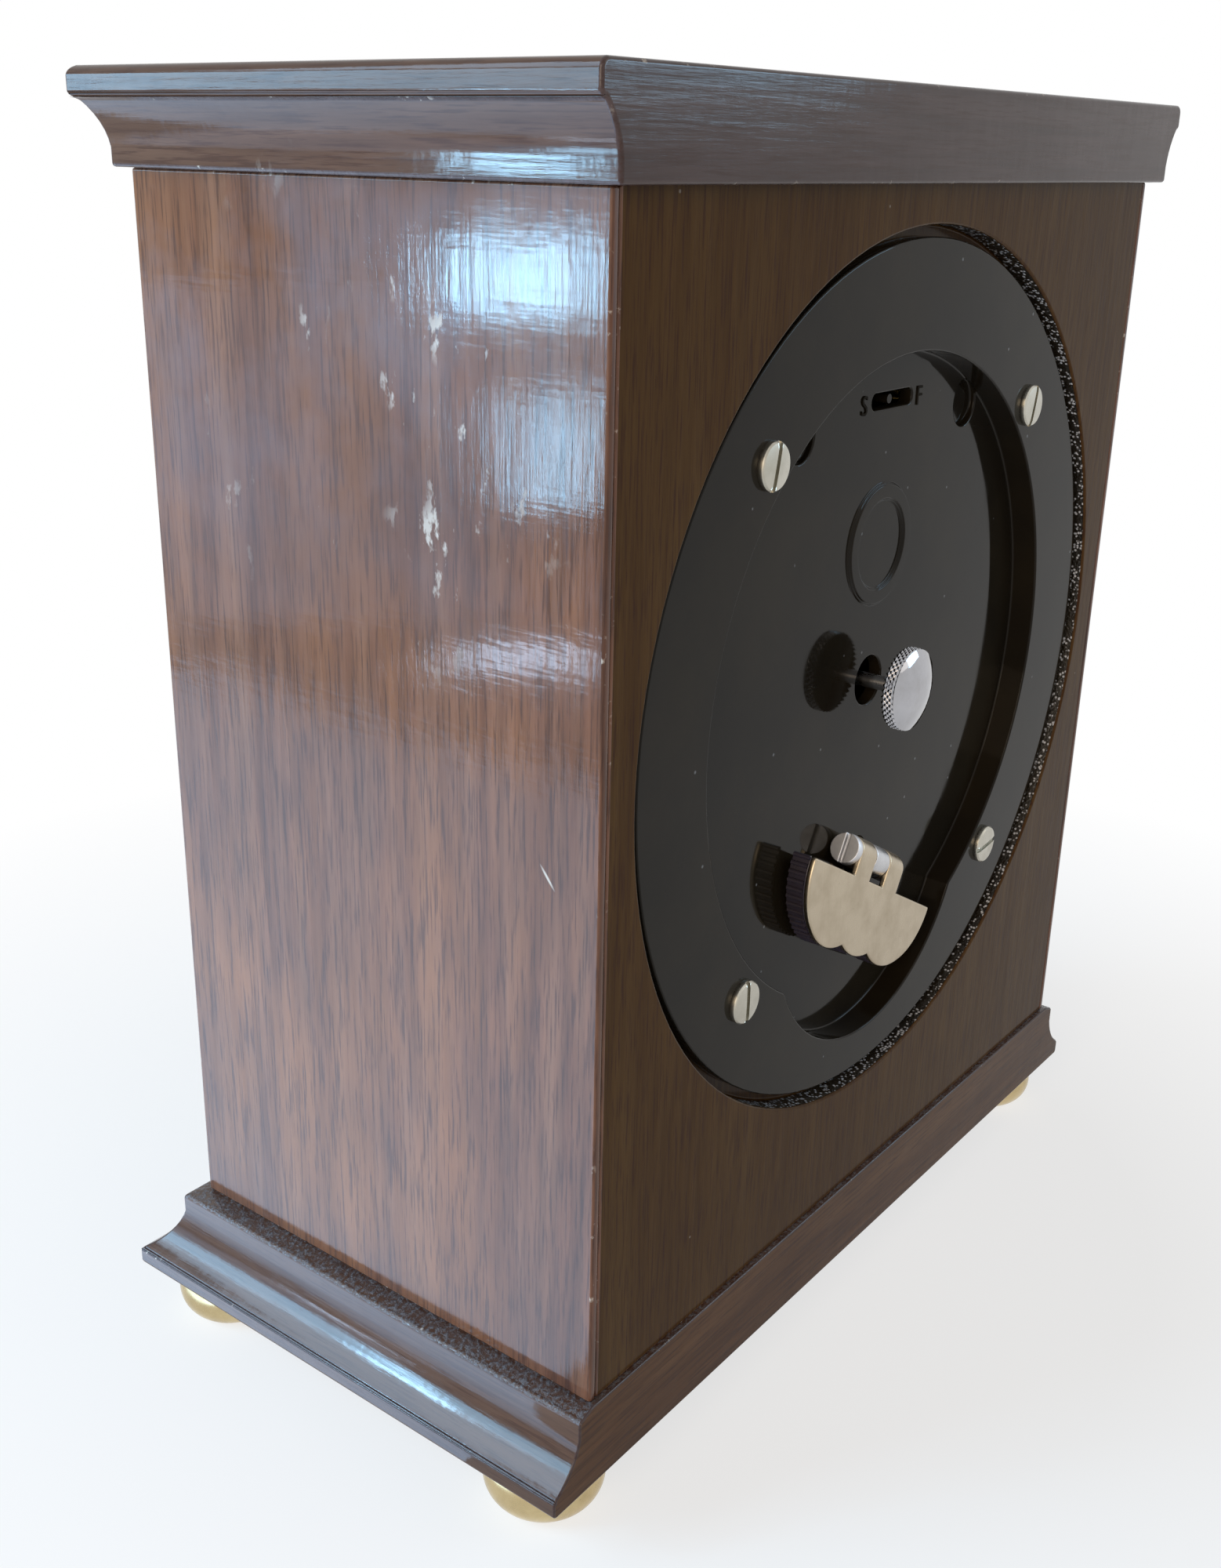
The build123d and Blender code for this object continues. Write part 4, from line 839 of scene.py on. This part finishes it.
@dataclass
class CaseJoinery(Assembly):
    """The boards, mouldings and feet of the case."""

    panel_round: float = 0.35
    cornice_round: float = 0.45
    base_round: float = 0.25
    moulding_angle: float = 32.0
    moulding_steps: int = 3
    foot_round: float = 0.3
    rim_radius: float = 61.5
    side_slope: float = 0.05
    back_slope: float = 0.95
    wall_slope: float = 0.5

    def build(self) -> None:
        """Dress the boards, the mouldings and the feet."""
        f = Finish
        sides = {"case_side_left": f.HANDLED, "case_side_right": f.HANDLED, "case_front": f.UPRIGHT}
        for node, finish in sides.items():
            self.dress(node, self.panel_round, "case", "mahogany", finish, f.WORN_EDGE)
        self.back_panel()
        self.moulded("cornice_board", self.cornice_round, f.ACROSS, f.DEEP, f.ACROSS)
        self.moulded("base_board", self.base_round, f.PLINTH, f.PLINTH_DEEP, f.PLINTH_BACK)
        for corner in ("front_left", "front_right", "back_left", "back_right"):
            self.dress(f"foot_{corner}", self.foot_round, "case", "foot_brass", f.FOOT_BRASS)

    def moulded(self, node: str, width: float, *finishes: Finish) -> None:
        """Dress a moulded board, the grain following its edges and meeting in mitres.

        Args:
            node: the board's node.
            width: width of the rounding of its edges.
            finishes: finish of the top and front, of the edges that face sideways and of the back.
        """
        steps = {"angle": self.moulding_angle, "segments": self.moulding_steps}
        piece = self.softened(node, width, *finishes, Finish.WORN_MOULDING, **steps)
        for face in piece.data.polygons:
            if face.material_index:
                continue
            if abs(face.normal.x) > max(abs(face.normal.y), self.side_slope):
                face.material_index = 1
            elif face.normal.y > self.back_slope:
                face.material_index = 2
        self.settle(piece, "case", "mahogany", node)

    def back_panel(self) -> None:
        """Dress the back panel, with the wall of its opening ebonised."""
        # The back panel's wood is darker than the sides' as painted shade
        finishes = Finish.SHADED, Finish.EBONISED, Finish.WORN_EDGE
        piece = self.softened("case_back", self.panel_round, *finishes)
        for face in piece.data.polygons:
            across, up = face.center.x / MM, face.center.z / MM - CENTRE_Z
            inward = face.normal.x * across + face.normal.z * up < 0
            if inward and abs(face.normal.y) < self.wall_slope and face.material_index == 0:
                face.material_index = 1
            elif face.material_index == 2 and across * across + up * up < self.rim_radius ** 2:
                face.material_index = 0
        self.settle(piece, "case", "mahogany", "case_back")


@dataclass
class CoverFittings(Assembly):
    """The black back cover, its marks and its slotted screws."""

    floor_y: float = BACK_Y - 5.0
    flange_y: float = BACK_Y - 1.1
    cover_round: float = 0.3
    mark_v: float = 37.4
    mark_lift: float = 0.05
    mark_height: float = 2.5
    mark_rise: float = 0.12
    half_pitch: float = 34.0
    head_radius: float = 2.9
    head_height: float = 1.0
    head_steps: int = 48
    head_round: float = 0.06
    head_round_angle: float = 40.0
    head_sharp: float = 35.0
    slot_width: float = 0.7
    slot_depth: float = 0.5
    slot_reach: float = 3.0
    slot_turns: tuple = (78.0, 76.0, 90.0, 6.0)

    MARKS = ("mark_slow", "S", -6.7), ("mark_fast", "F", 7.7)
    CORNERS = (-1, 1), (1, 1), (-1, -1), (1, -1)
    # Points of the head as shares of its radius and height
    HEAD = (0, -0.2), (0.97, -0.2), (1, 0), (1, 0.66), (0.93, 0.88), (0.7, 0.97), (0, 1)

    def build(self) -> None:
        """Dress the cover, then add its marks and screws."""
        self.dress("back_cover", self.cover_round, "case", "black_moulding", Finish.RESIN)
        sizes = self.mark_height, self.mark_rise
        for name, text, u in self.MARKS:
            place = facing(u, self.mark_v, self.floor_y + self.mark_lift)
            mark = self.letters(name, text, *sizes, place, Finish.MARK)
            self.settle(mark, "case", "black_moulding")
        self.screws()

    def head(self) -> Piece:
        """Make one slotted screw head.

        Returns:
            The head, its own z along the screw.
        """
        r, h = self.head_radius * MM, self.head_height * MM
        turned = ringed([(a * r, z * h) for a, z in self.HEAD], self.head_steps)
        head = added("screw_head", to_mesh("screw_head", turned), Finish.NICKEL.material)
        blade = bmesh.new()
        sides = self.slot_reach * r, self.slot_width * MM, 2 * self.slot_depth * MM
        size = Matrix.Diagonal((*sides, 1))
        bmesh.ops.create_cube(blade, size=1.0, matrix=Matrix.Translation((0, 0, h)) @ size)
        cutter = added("screw_slot", to_mesh("screw_slot", blade), Finish.NICKEL.material)
        cut = head.modifiers.new("slot", "BOOLEAN")
        cut.object = cutter
        cut.solver = "EXACT"
        soft = head.modifiers.new("soft", "BEVEL")
        soft.width = self.head_round * MM
        soft.limit_method = "ANGLE"
        soft.angle_limit = radians(self.head_round_angle)
        plain(head)
        bpy.data.objects.remove(cutter)
        for face in head.data.polygons:
            face.use_smooth = True
        head.data.set_sharp_from_angle(angle=radians(self.head_sharp))
        return head

    def screws(self) -> None:
        """Set a screw at each corner, its slot turned as it was left."""
        head, pitch = self.head(), self.half_pitch
        places = [behind(u * pitch, v * pitch, self.flange_y) for u, v in self.CORNERS]
        start = point_mesh("screw_points", places, [radians(turn) for turn in self.slot_turns])
        tree = Repeats("slotted_screws")
        info = tree.node("GeometryNodeObjectInfo", {"Object": tree.input("Head", "Object", head)})
        turn = tree.node("GeometryNodeInputNamedAttribute", {"Name": "turn"}, data_type="FLOAT")
        level, spin = tuple(facing(0, 0, 0).to_euler()), tree.xyz(z=turn.outputs[0])
        out, own = (tree.node("FunctionNodeEulerToRotation", {0: way}) for way in (level, spin))
        links = {0: out.outputs[0], 1: own.outputs[0]}
        whole = tree.node("FunctionNodeRotateRotation", links, rotation_space="LOCAL").outputs[0]
        points, shape = tree.start.outputs[0], info.outputs["Geometry"]
        piece = tree.make("slotted_screws", start, points, shape, whole, Finish.NICKEL)
        bpy.data.objects.remove(head)
        self.settle(piece, "case", "nickel", "cover_screws")


@dataclass
class SettingKnob(Assembly):
    """The knurled chrome knob that sets the hands."""

    radius: float = 5.7
    back_y: float = BACK_Y + 0.1
    band: float = 1.7
    chamfer: Pair = (0.5, 0.2)
    neck: Pair = (0.1, 0.05)
    lip: float = 0.3
    rim: float = 0.12
    dome: float = 1.17
    dome_power: float = 2.6
    dome_steps: int = 16
    steps: int = 96
    studs: int = 42
    rows: int = 4
    stud_height: float = 0.36
    stud_spread: float = 0.62
    stud_gap: float = 0.01
    knurl_from: float = 0.15
    knurl_margin: float = 0.25

    def build(self) -> None:
        """Turn the knob and cover its band with knurling."""
        r, y, top = self.radius, self.back_y, self.back_y + self.band
        core = r - self.stud_height - self.stud_gap
        profile = [(0.0, y), (core - self.chamfer[0], y), (core, y + self.chamfer[1])]
        profile += [(core, top - self.neck[0]), (r - self.lip, top + self.neck[1])]
        for step in range(self.dome_steps + 1):
            reach = 1 - step / self.dome_steps
            rise = self.dome * (1 - reach ** self.dome_power)
            profile.append(((r - self.rim) * reach, top + self.rim + rise))
        knob = self.lathe("set_knob_turned", profile, self.steps, Finish.CHROME)
        self.settle(knob, "hands_setting", "chrome", "set_knob")
        self.knurl(core)

    def knurl(self, core: float) -> None:
        """Lay rows of small pyramids round the band, each row set off by half a pitch.

        Args:
            core: radius of the band under the pyramids.
        """
        tree = Repeats("diamond_knurl")
        math = tree.math
        count = tree.input("Count", "Int", self.studs)
        rows = tree.input("Rows", "Int", self.rows)
        radius = tree.input("Radius", "Float", core * MM)
        band = tree.input("Band", "Float", (self.band - self.knurl_margin) * MM)
        line = tree.node("GeometryNodeMeshLine", {"Count": math("MULTIPLY", count, rows)})
        index = tree.node("GeometryNodeInputIndex").outputs[0]
        row = math("FLOOR", math("DIVIDE", math("ADD", index, 0.5), count))
        half = math("MULTIPLY", math("MODULO", row, 2.0), 0.5)
        angle = math("MULTIPLY", math("DIVIDE", math("ADD", index, half), count), 2 * pi)
        along = math("MULTIPLY", math("DIVIDE", math("ADD", row, 0.5), rows), band)
        level = math("ADD", along, (self.back_y + self.knurl_from) * MM)
        across = math("MULTIPLY", math("COSINE", angle), radius)
        up = math("MULTIPLY", math("SINE", angle), radius)
        place = tree.xyz(across, level, math("ADD", up, CENTRE_Z * MM))
        laid = tree.node("GeometryNodeSetPosition", {0: line.outputs[0], "Position": place})
        size = 2 * pi * core * MM / self.studs
        links = {"Vertices": 4, "Radius Top": 0.0, "Radius Bottom": self.stud_spread * size}
        stud = tree.node("GeometryNodeMeshCone", {**links, "Depth": self.stud_height * MM})
        links = {"Vector": tree.xyz(across, 0.0, up)}
        aim = tree.node("FunctionNodeAlignRotationToVector", links, axis="Z")
        start = point_mesh("knurl_start", [Vector()])
        sockets = (made.outputs[0] for made in (laid, stud, aim))
        piece = tree.make("knob_knurl", start, *sockets, Finish.CHROME)
        self.settle(piece, "hands_setting", "chrome")


@dataclass
class FoldingKey(Assembly):
    """The folding winding key with its ribbed grip."""

    turn: float = -29.4
    drop: float = 26.0
    wing_round: float = 0.28
    part_round: float = 0.15
    grip_y: float = BACK_Y - 4.0
    grip_top: float = BACK_Y - 1.2
    lobe_steps: int = 12
    middle_steps: int = 6
    middle_swell: float = 0.5
    rib_pitch: float = 1.15
    rib_radius: float = 0.34
    rib_sides: int = 10
    rib_margin: float = 0.3

    # Points of the grip's edge, along the wing and out from its pivot
    EDGE = (19.55, 3.35), (18.3, 8.2), (14.4, 11.95), (9.8, 13.5), (4.3, 12.45), (0.0, 13.4)

    def build(self) -> None:
        """Dress the wing, grip, pivot screw and hub, and add the ribs."""
        self.dress("key_wing", self.wing_round, "key", "key_brass", Finish.KEY_BRASS)
        self.dress("key_grip", self.part_round, "key", "black_grip", Finish.GRIP)
        self.dress("key_pivot_screw", self.part_round, "key", "steel", Finish.SCREW_STEEL)
        self.dress("winding_arbor", self.part_round, "winding", "steel", Finish.STEEL)
        self.ribs()

    def outline(self) -> list[Pair]:
        """Draw the curved edge of the grip, two lobes with a swell between them.

        Returns:
            Points along the wing and out from its pivot, in millimetres.
        """
        spots = [Vector(spot) for spot in self.EDGE]
        half = []
        for a, b, c in (spots[0:3], spots[2:5]):
            for step in range(self.lobe_steps):
                t = step / self.lobe_steps
                bend = (2 * b - (a + c) / 2) * 2 * t * (1 - t)
                half.append(a * (1 - t) ** 2 + bend + c * t * t)
        a, b = spots[4:6]
        for step in range(self.middle_steps + 1):
            t = step / self.middle_steps
            half.append(a * (1 - t) + b * t + Vector((0, self.middle_swell * t * (1 - t))))
        return [(p.x, p.y) for p in half] + [(-p.x, p.y) for p in reversed(half[:-1])]

    def ribs(self) -> None:
        """Stand small ribs round the curved edge of the grip."""
        place = facing(0, -self.drop, (self.grip_y + self.grip_top) / 2, self.turn)
        points = [place @ Vector((a * MM, -b * MM, 0)) for a, b in self.outline()]
        path = bpy.data.meshes.new("rib_path")
        path.from_pydata(points, [(k, k + 1) for k in range(len(points) - 1)], [])
        tree = Repeats("grip_ribs")
        pitch = tree.input("Pitch", "Float", self.rib_pitch * MM)
        radius = tree.input("Radius", "Float", self.rib_radius * MM)
        depth = (self.grip_top - self.grip_y - self.rib_margin) * MM
        length = tree.input("Length", "Float", depth)
        curve = tree.node("GeometryNodeMeshToCurve", {0: tree.start.outputs[0]})
        links = {0: curve.outputs[0], "Length": pitch}
        even = tree.node("GeometryNodeResampleCurve", links, mode="LENGTH").outputs[0]
        links = {"Vertices": self.rib_sides, "Radius": radius, "Depth": length}
        rib = tree.node("GeometryNodeMeshCylinder", links).outputs[0]
        piece = tree.make("grip_ribs", path, even, rib, (pi / 2, 0, 0), Finish.GRIP)
        self.settle(piece, "key", "black_grip")


@dataclass
class DialFront(Assembly):
    """The dial with its markings, the hands, the bezel and the glass."""

    dial_round: float = 0.1
    bezel_round: float = 0.3
    hand_round: float = 0.08
    face_y: float = FRONT_Y + 7.2
    tick_radius: float = 43.0
    tick_rise: float = 0.08
    minute_size: Pair = (0.28, 1.6)
    hour_size: Pair = (0.9, 2.8)
    hour_inset: float = 0.6
    numeral_radius: float = 35.5
    numeral_height: float = 6.0
    numeral_rise: float = 0.04
    glass_y: float = FRONT_Y - 1.2
    glass_radius: float = 46.1
    glass_thickness: float = 1.4
    glass_steps: int = 128
    dome_reach: float = 44.8
    dome: float = 3.2
    dome_steps: int = 30

    def build(self) -> None:
        """Dress the front of the clock."""
        self.dress("dial", self.dial_round, "case", "silvered_dial", Finish.DIAL)
        self.dress("bezel", self.bezel_round, "case", "bezel_brass", Finish.BRASS)
        self.dress("hour_hand", self.hand_round, "hour_work", "blued_hands", Finish.INK)
        self.dress("minute_hand", self.hand_round, "hands_setting", "blued_hands", Finish.INK)
        self.lens()
        self.ticks("minute_ticks", 60, self.minute_size, self.tick_radius)
        self.ticks("hour_batons", 12, self.hour_size, self.tick_radius - self.hour_inset)
        sizes = self.numeral_height, self.numeral_rise
        for hour in range(1, 13):
            angle = pi / 2 - hour * pi / 6
            u, v = -self.numeral_radius * cos(angle), self.numeral_radius * sin(angle)
            place = facing(u, v, self.face_y, front=True)
            numeral = self.letters(f"numeral_{hour:02d}", str(hour), *sizes, place, Finish.INK)
            self.settle(numeral, "case", "silvered_dial")

    def lens(self) -> None:
        """Turn the domed glass in steps so fine that the view through it stays whole."""
        reach, back, front = self.dome_reach, self.glass_y, self.glass_y - self.glass_thickness
        curve = (reach ** 2 + self.dome ** 2) / (2 * self.dome)
        reaches = [reach * step / self.dome_steps for step in range(self.dome_steps + 1)]
        inner = [(r, back - self.dome + curve - sqrt(curve ** 2 - r ** 2)) for r in reaches]
        outer = [(r, y - self.glass_thickness) for r, y in inner]
        rim = [(self.glass_radius, front), (self.glass_radius, back)]
        profile = outer + rim + inner[::-1]
        glass = self.lathe("glass_turned", profile, self.glass_steps, Finish.GLASS)
        self.settle(glass, "case", "clear_glass", "glass")

    def ticks(self, name: str, count: int, size: Pair, radius: float) -> None:
        """Lay a ring of dial marks, each pointing to the centre.

        Args:
            name: name of the new piece.
            count: number of marks.
            size: width and length of a mark.
            radius: radius of the ring.
        """
        tree = Repeats(name)
        math = tree.math
        number = tree.input("Count", "Int", count)
        reach = tree.input("Radius", "Float", radius * MM)
        sides = tree.input("Size", "Vector", (size[0] * MM, self.tick_rise * MM, size[1] * MM))
        index = tree.node("GeometryNodeInputIndex").outputs[0]
        angle = math("MULTIPLY", math("DIVIDE", index, number), 2 * pi)
        line = tree.node("GeometryNodeMeshLine", {"Count": number})
        across = math("MULTIPLY", math("SINE", angle), reach)
        up = math("ADD", math("MULTIPLY", math("COSINE", angle), reach), CENTRE_Z * MM)
        place = tree.xyz(across, self.face_y * MM, up)
        links = {0: line.outputs[0], "Position": place}
        laid = tree.node("GeometryNodeSetPosition", links).outputs[0]
        mark = tree.node("GeometryNodeMeshCube", {"Size": sides}).outputs[0]
        start = point_mesh(f"{name}_start", [Vector()])
        piece = tree.make(name, start, laid, mark, tree.xyz(y=angle), Finish.INK)
        self.settle(piece, "case", "silvered_dial")


@dataclass
class Movement(Assembly):
    """The plates, wheels and arbors inside the case."""

    black_node: str = "regulator_index"

    BY_SLOT = {
        "mahogany": Finish.UPRIGHT, "foot_brass": Finish.FOOT_BRASS, "black_moulding": Finish.RESIN,
        "nickel": Finish.NICKEL, "chrome": Finish.CHROME, "key_brass": Finish.KEY_BRASS,
        "black_grip": Finish.GRIP, "silvered_dial": Finish.DIAL, "blued_hands": Finish.INK,
        "bezel_brass": Finish.BRASS, "clear_glass": Finish.GLASS, "plate_brass": Finish.BRASS,
        "wheel_brass": Finish.BRASS, "steel": Finish.STEEL,
    }

    def build(self) -> None:
        """Give every node its finish by its material slot."""
        for entry in frame["record"]["subparts"]:
            node, slot = entry["node"], entry["material_slot"]
            finish = Finish.RESIN if node == self.black_node else self.BY_SLOT[slot]
            for place in frame["nodes"][node].material_slots:
                place.material = finish.material
            LOG.info("%s dressed in %s", node, slot)


@dataclass(frozen=True)
class Lamp:
    """A soft rectangular lamp that isn't seen itself, in metres and watts."""

    name: str
    place: Triple
    aim: Triple
    size: Pair
    power: float
    colour: Triple = (0.36, 0.70, 1.0)

    def hang(self) -> None:
        """Add the lamp to the scene."""
        light = bpy.data.lights.new(self.name, "AREA")
        light.shape = "RECTANGLE"
        light.size, light.size_y = self.size
        light.energy = self.power
        light.color = self.colour
        lamp = bpy.data.objects.new(self.name, light)
        lamp.location = self.place
        way = Vector(self.aim) - Vector(self.place)
        lamp.rotation_euler = way.to_track_quat("-Z", "Y").to_euler()
        lamp.visible_camera = False
        bpy.context.scene.collection.objects.link(lamp)


@dataclass
class Studio:
    """The floor, the lights, the background and the camera."""

    eye: Triple = (194.41, BACK_Y + 99.86, BODY_Z + 143.12)
    forward: Triple = (-0.7420, -0.5680, -0.3561)
    down: Triple = (0.2697, 0.2333, -0.9342)
    lens: float = 38.27
    sensor: float = 36.0
    clip: Pair = (0.005, 20.0)
    fill: float = 0.20
    floor_reach: float = 4.0
    floor_edge: Pair = (0.08, 0.22)
    floor_white: Pair = (0.68, 1.0)
    paper: Colour = (0.92, 0.92, 0.92, 1)
    paper_roughness: float = 0.9

    LAMPS = (
        Lamp("key", (0.75, -0.62, 0.75), (0.05, 0.0, 0.08), (0.5, 0.5), 6.0, (0.52, 0.75, 1.0)),
        Lamp("warm", (0.80, 0.28, 0.38), (0.03, 0.03, 0.09), (0.5, 0.5), 3.0, (1.0, 0.80, 0.58)),
        Lamp("pane_high", (0.25, -0.129, 0.134), (0.0655, 0.026, 0.15), (0.031, 0.016), 0.10),
        Lamp("pane_low", (0.25, -0.119, 0.0955), (0.0655, 0.03, 0.135), (0.017, 0.027), 0.050),
        Lamp("sill", (0.25, -0.131, 0.039), (0.0655, 0.028, 0.112), (0.035, 0.005), 0.0165,
             (0.55, 0.74, 1.0)),
        Lamp("haze", (0.25, -0.19, 0.085), (0.0655, 0.0, 0.135), (0.12, 0.09), 0.062, (0.5, 0.68, 1.0)),
        Lamp("table", (0.172, -0.14, 0.003), (0.172, -0.14, 1.0), (0.192, 0.32), 0.64, (0.4, 0.66, 1.0)),
        Lamp("horizon", (0.45, -0.36, 0.23), (0.07, 0.0, 0.165), (0.40, 0.13), 1.8),
        Lamp("gleam", (-0.59, 0.60, 0.31), (0.0, 0.04, 0.096), (0.36, 0.20), 1.5, (0.45, 0.74, 1.0)),
        Lamp("room", (-0.5, 0.9, 0.6), (0.0, 0.04, 0.08), (0.7, 0.7), 1.2, (1.0, 0.93, 0.85)),
    )

    def build(self) -> None:
        """Set the stage and take the camera to its place."""
        bpy.context.scene.view_settings.view_transform = "Standard"
        self.background()
        self.floor()
        for lamp in self.LAMPS:
            lamp.hang()
        self.camera()

    def background(self) -> None:
        """Make the background white to the eye and a soft light to the object."""
        world = bpy.data.worlds.new("studio")
        world.use_nodes = True
        nodes = Nodes(world.node_tree)
        light = nodes.tree.nodes["Background"].inputs
        nodes.feed(light[0], WHITE)
        nodes.feed(light[1], nodes.ramp(nodes.seen(), (0.0, 1.0), (self.fill, 1.0)))
        bpy.context.scene.world = world

    def floor(self) -> None:
        """Lay a plain pale floor that keeps the shadow and turns white farther off."""
        mesh = bpy.data.meshes.new("floor")
        far = self.floor_reach
        corners = [(-far, -far, 0), (far, -far, 0), (far, far, 0), (-far, far, 0)]
        mesh.from_pydata(corners, [], [(0, 1, 2, 3)])
        g = Graph("studio_paper")
        g.shade({"Base Color": self.paper, "Roughness": self.paper_roughness, "Specular IOR Level": 0.0})
        away = g.node("ShaderNodeVectorMath", {0: g.place}, operation="LENGTH").outputs["Value"]
        share = g.math("MULTIPLY", g.ramp(away, self.floor_edge, self.floor_white), g.seen())
        white = g.node("ShaderNodeEmission", {"Color": WHITE, "Strength": 1.0}).outputs[0]
        both = g.node("ShaderNodeMixShader", {0: share, 1: g.shader.outputs[0], 2: white})
        g.feed(g.tree.nodes["Material Output"].inputs[0], both.outputs[0])
        added("floor", mesh, g.material)

    def camera(self) -> None:
        """Take the camera to the photograph's viewpoint."""
        data = bpy.data.cameras.new("viewpoint")
        data.lens = self.lens
        data.sensor_width = self.sensor
        data.sensor_fit = "AUTO"
        data.clip_start, data.clip_end = self.clip
        back = -Vector(self.forward).normalized()
        right = (-Vector(self.down)).cross(back).normalized()
        turn = Matrix((right, back.cross(right), back)).transposed().to_4x4()
        camera = bpy.data.objects.new("viewpoint", data)
        camera.matrix_world = Matrix.Translation(Vector(self.eye) * MM) @ turn
        bpy.context.scene.collection.objects.link(camera)
        bpy.context.scene.camera = camera


def main() -> None:
    """Build the clock's looks in order."""
    logging.basicConfig(level=logging.INFO, format="%(name)s: %(message)s")
    for part in (Movement, CaseJoinery, CoverFittings, SettingKnob, FoldingKey, DialFront, Studio):
        part().build()


if __name__ == "__main__":
    main()
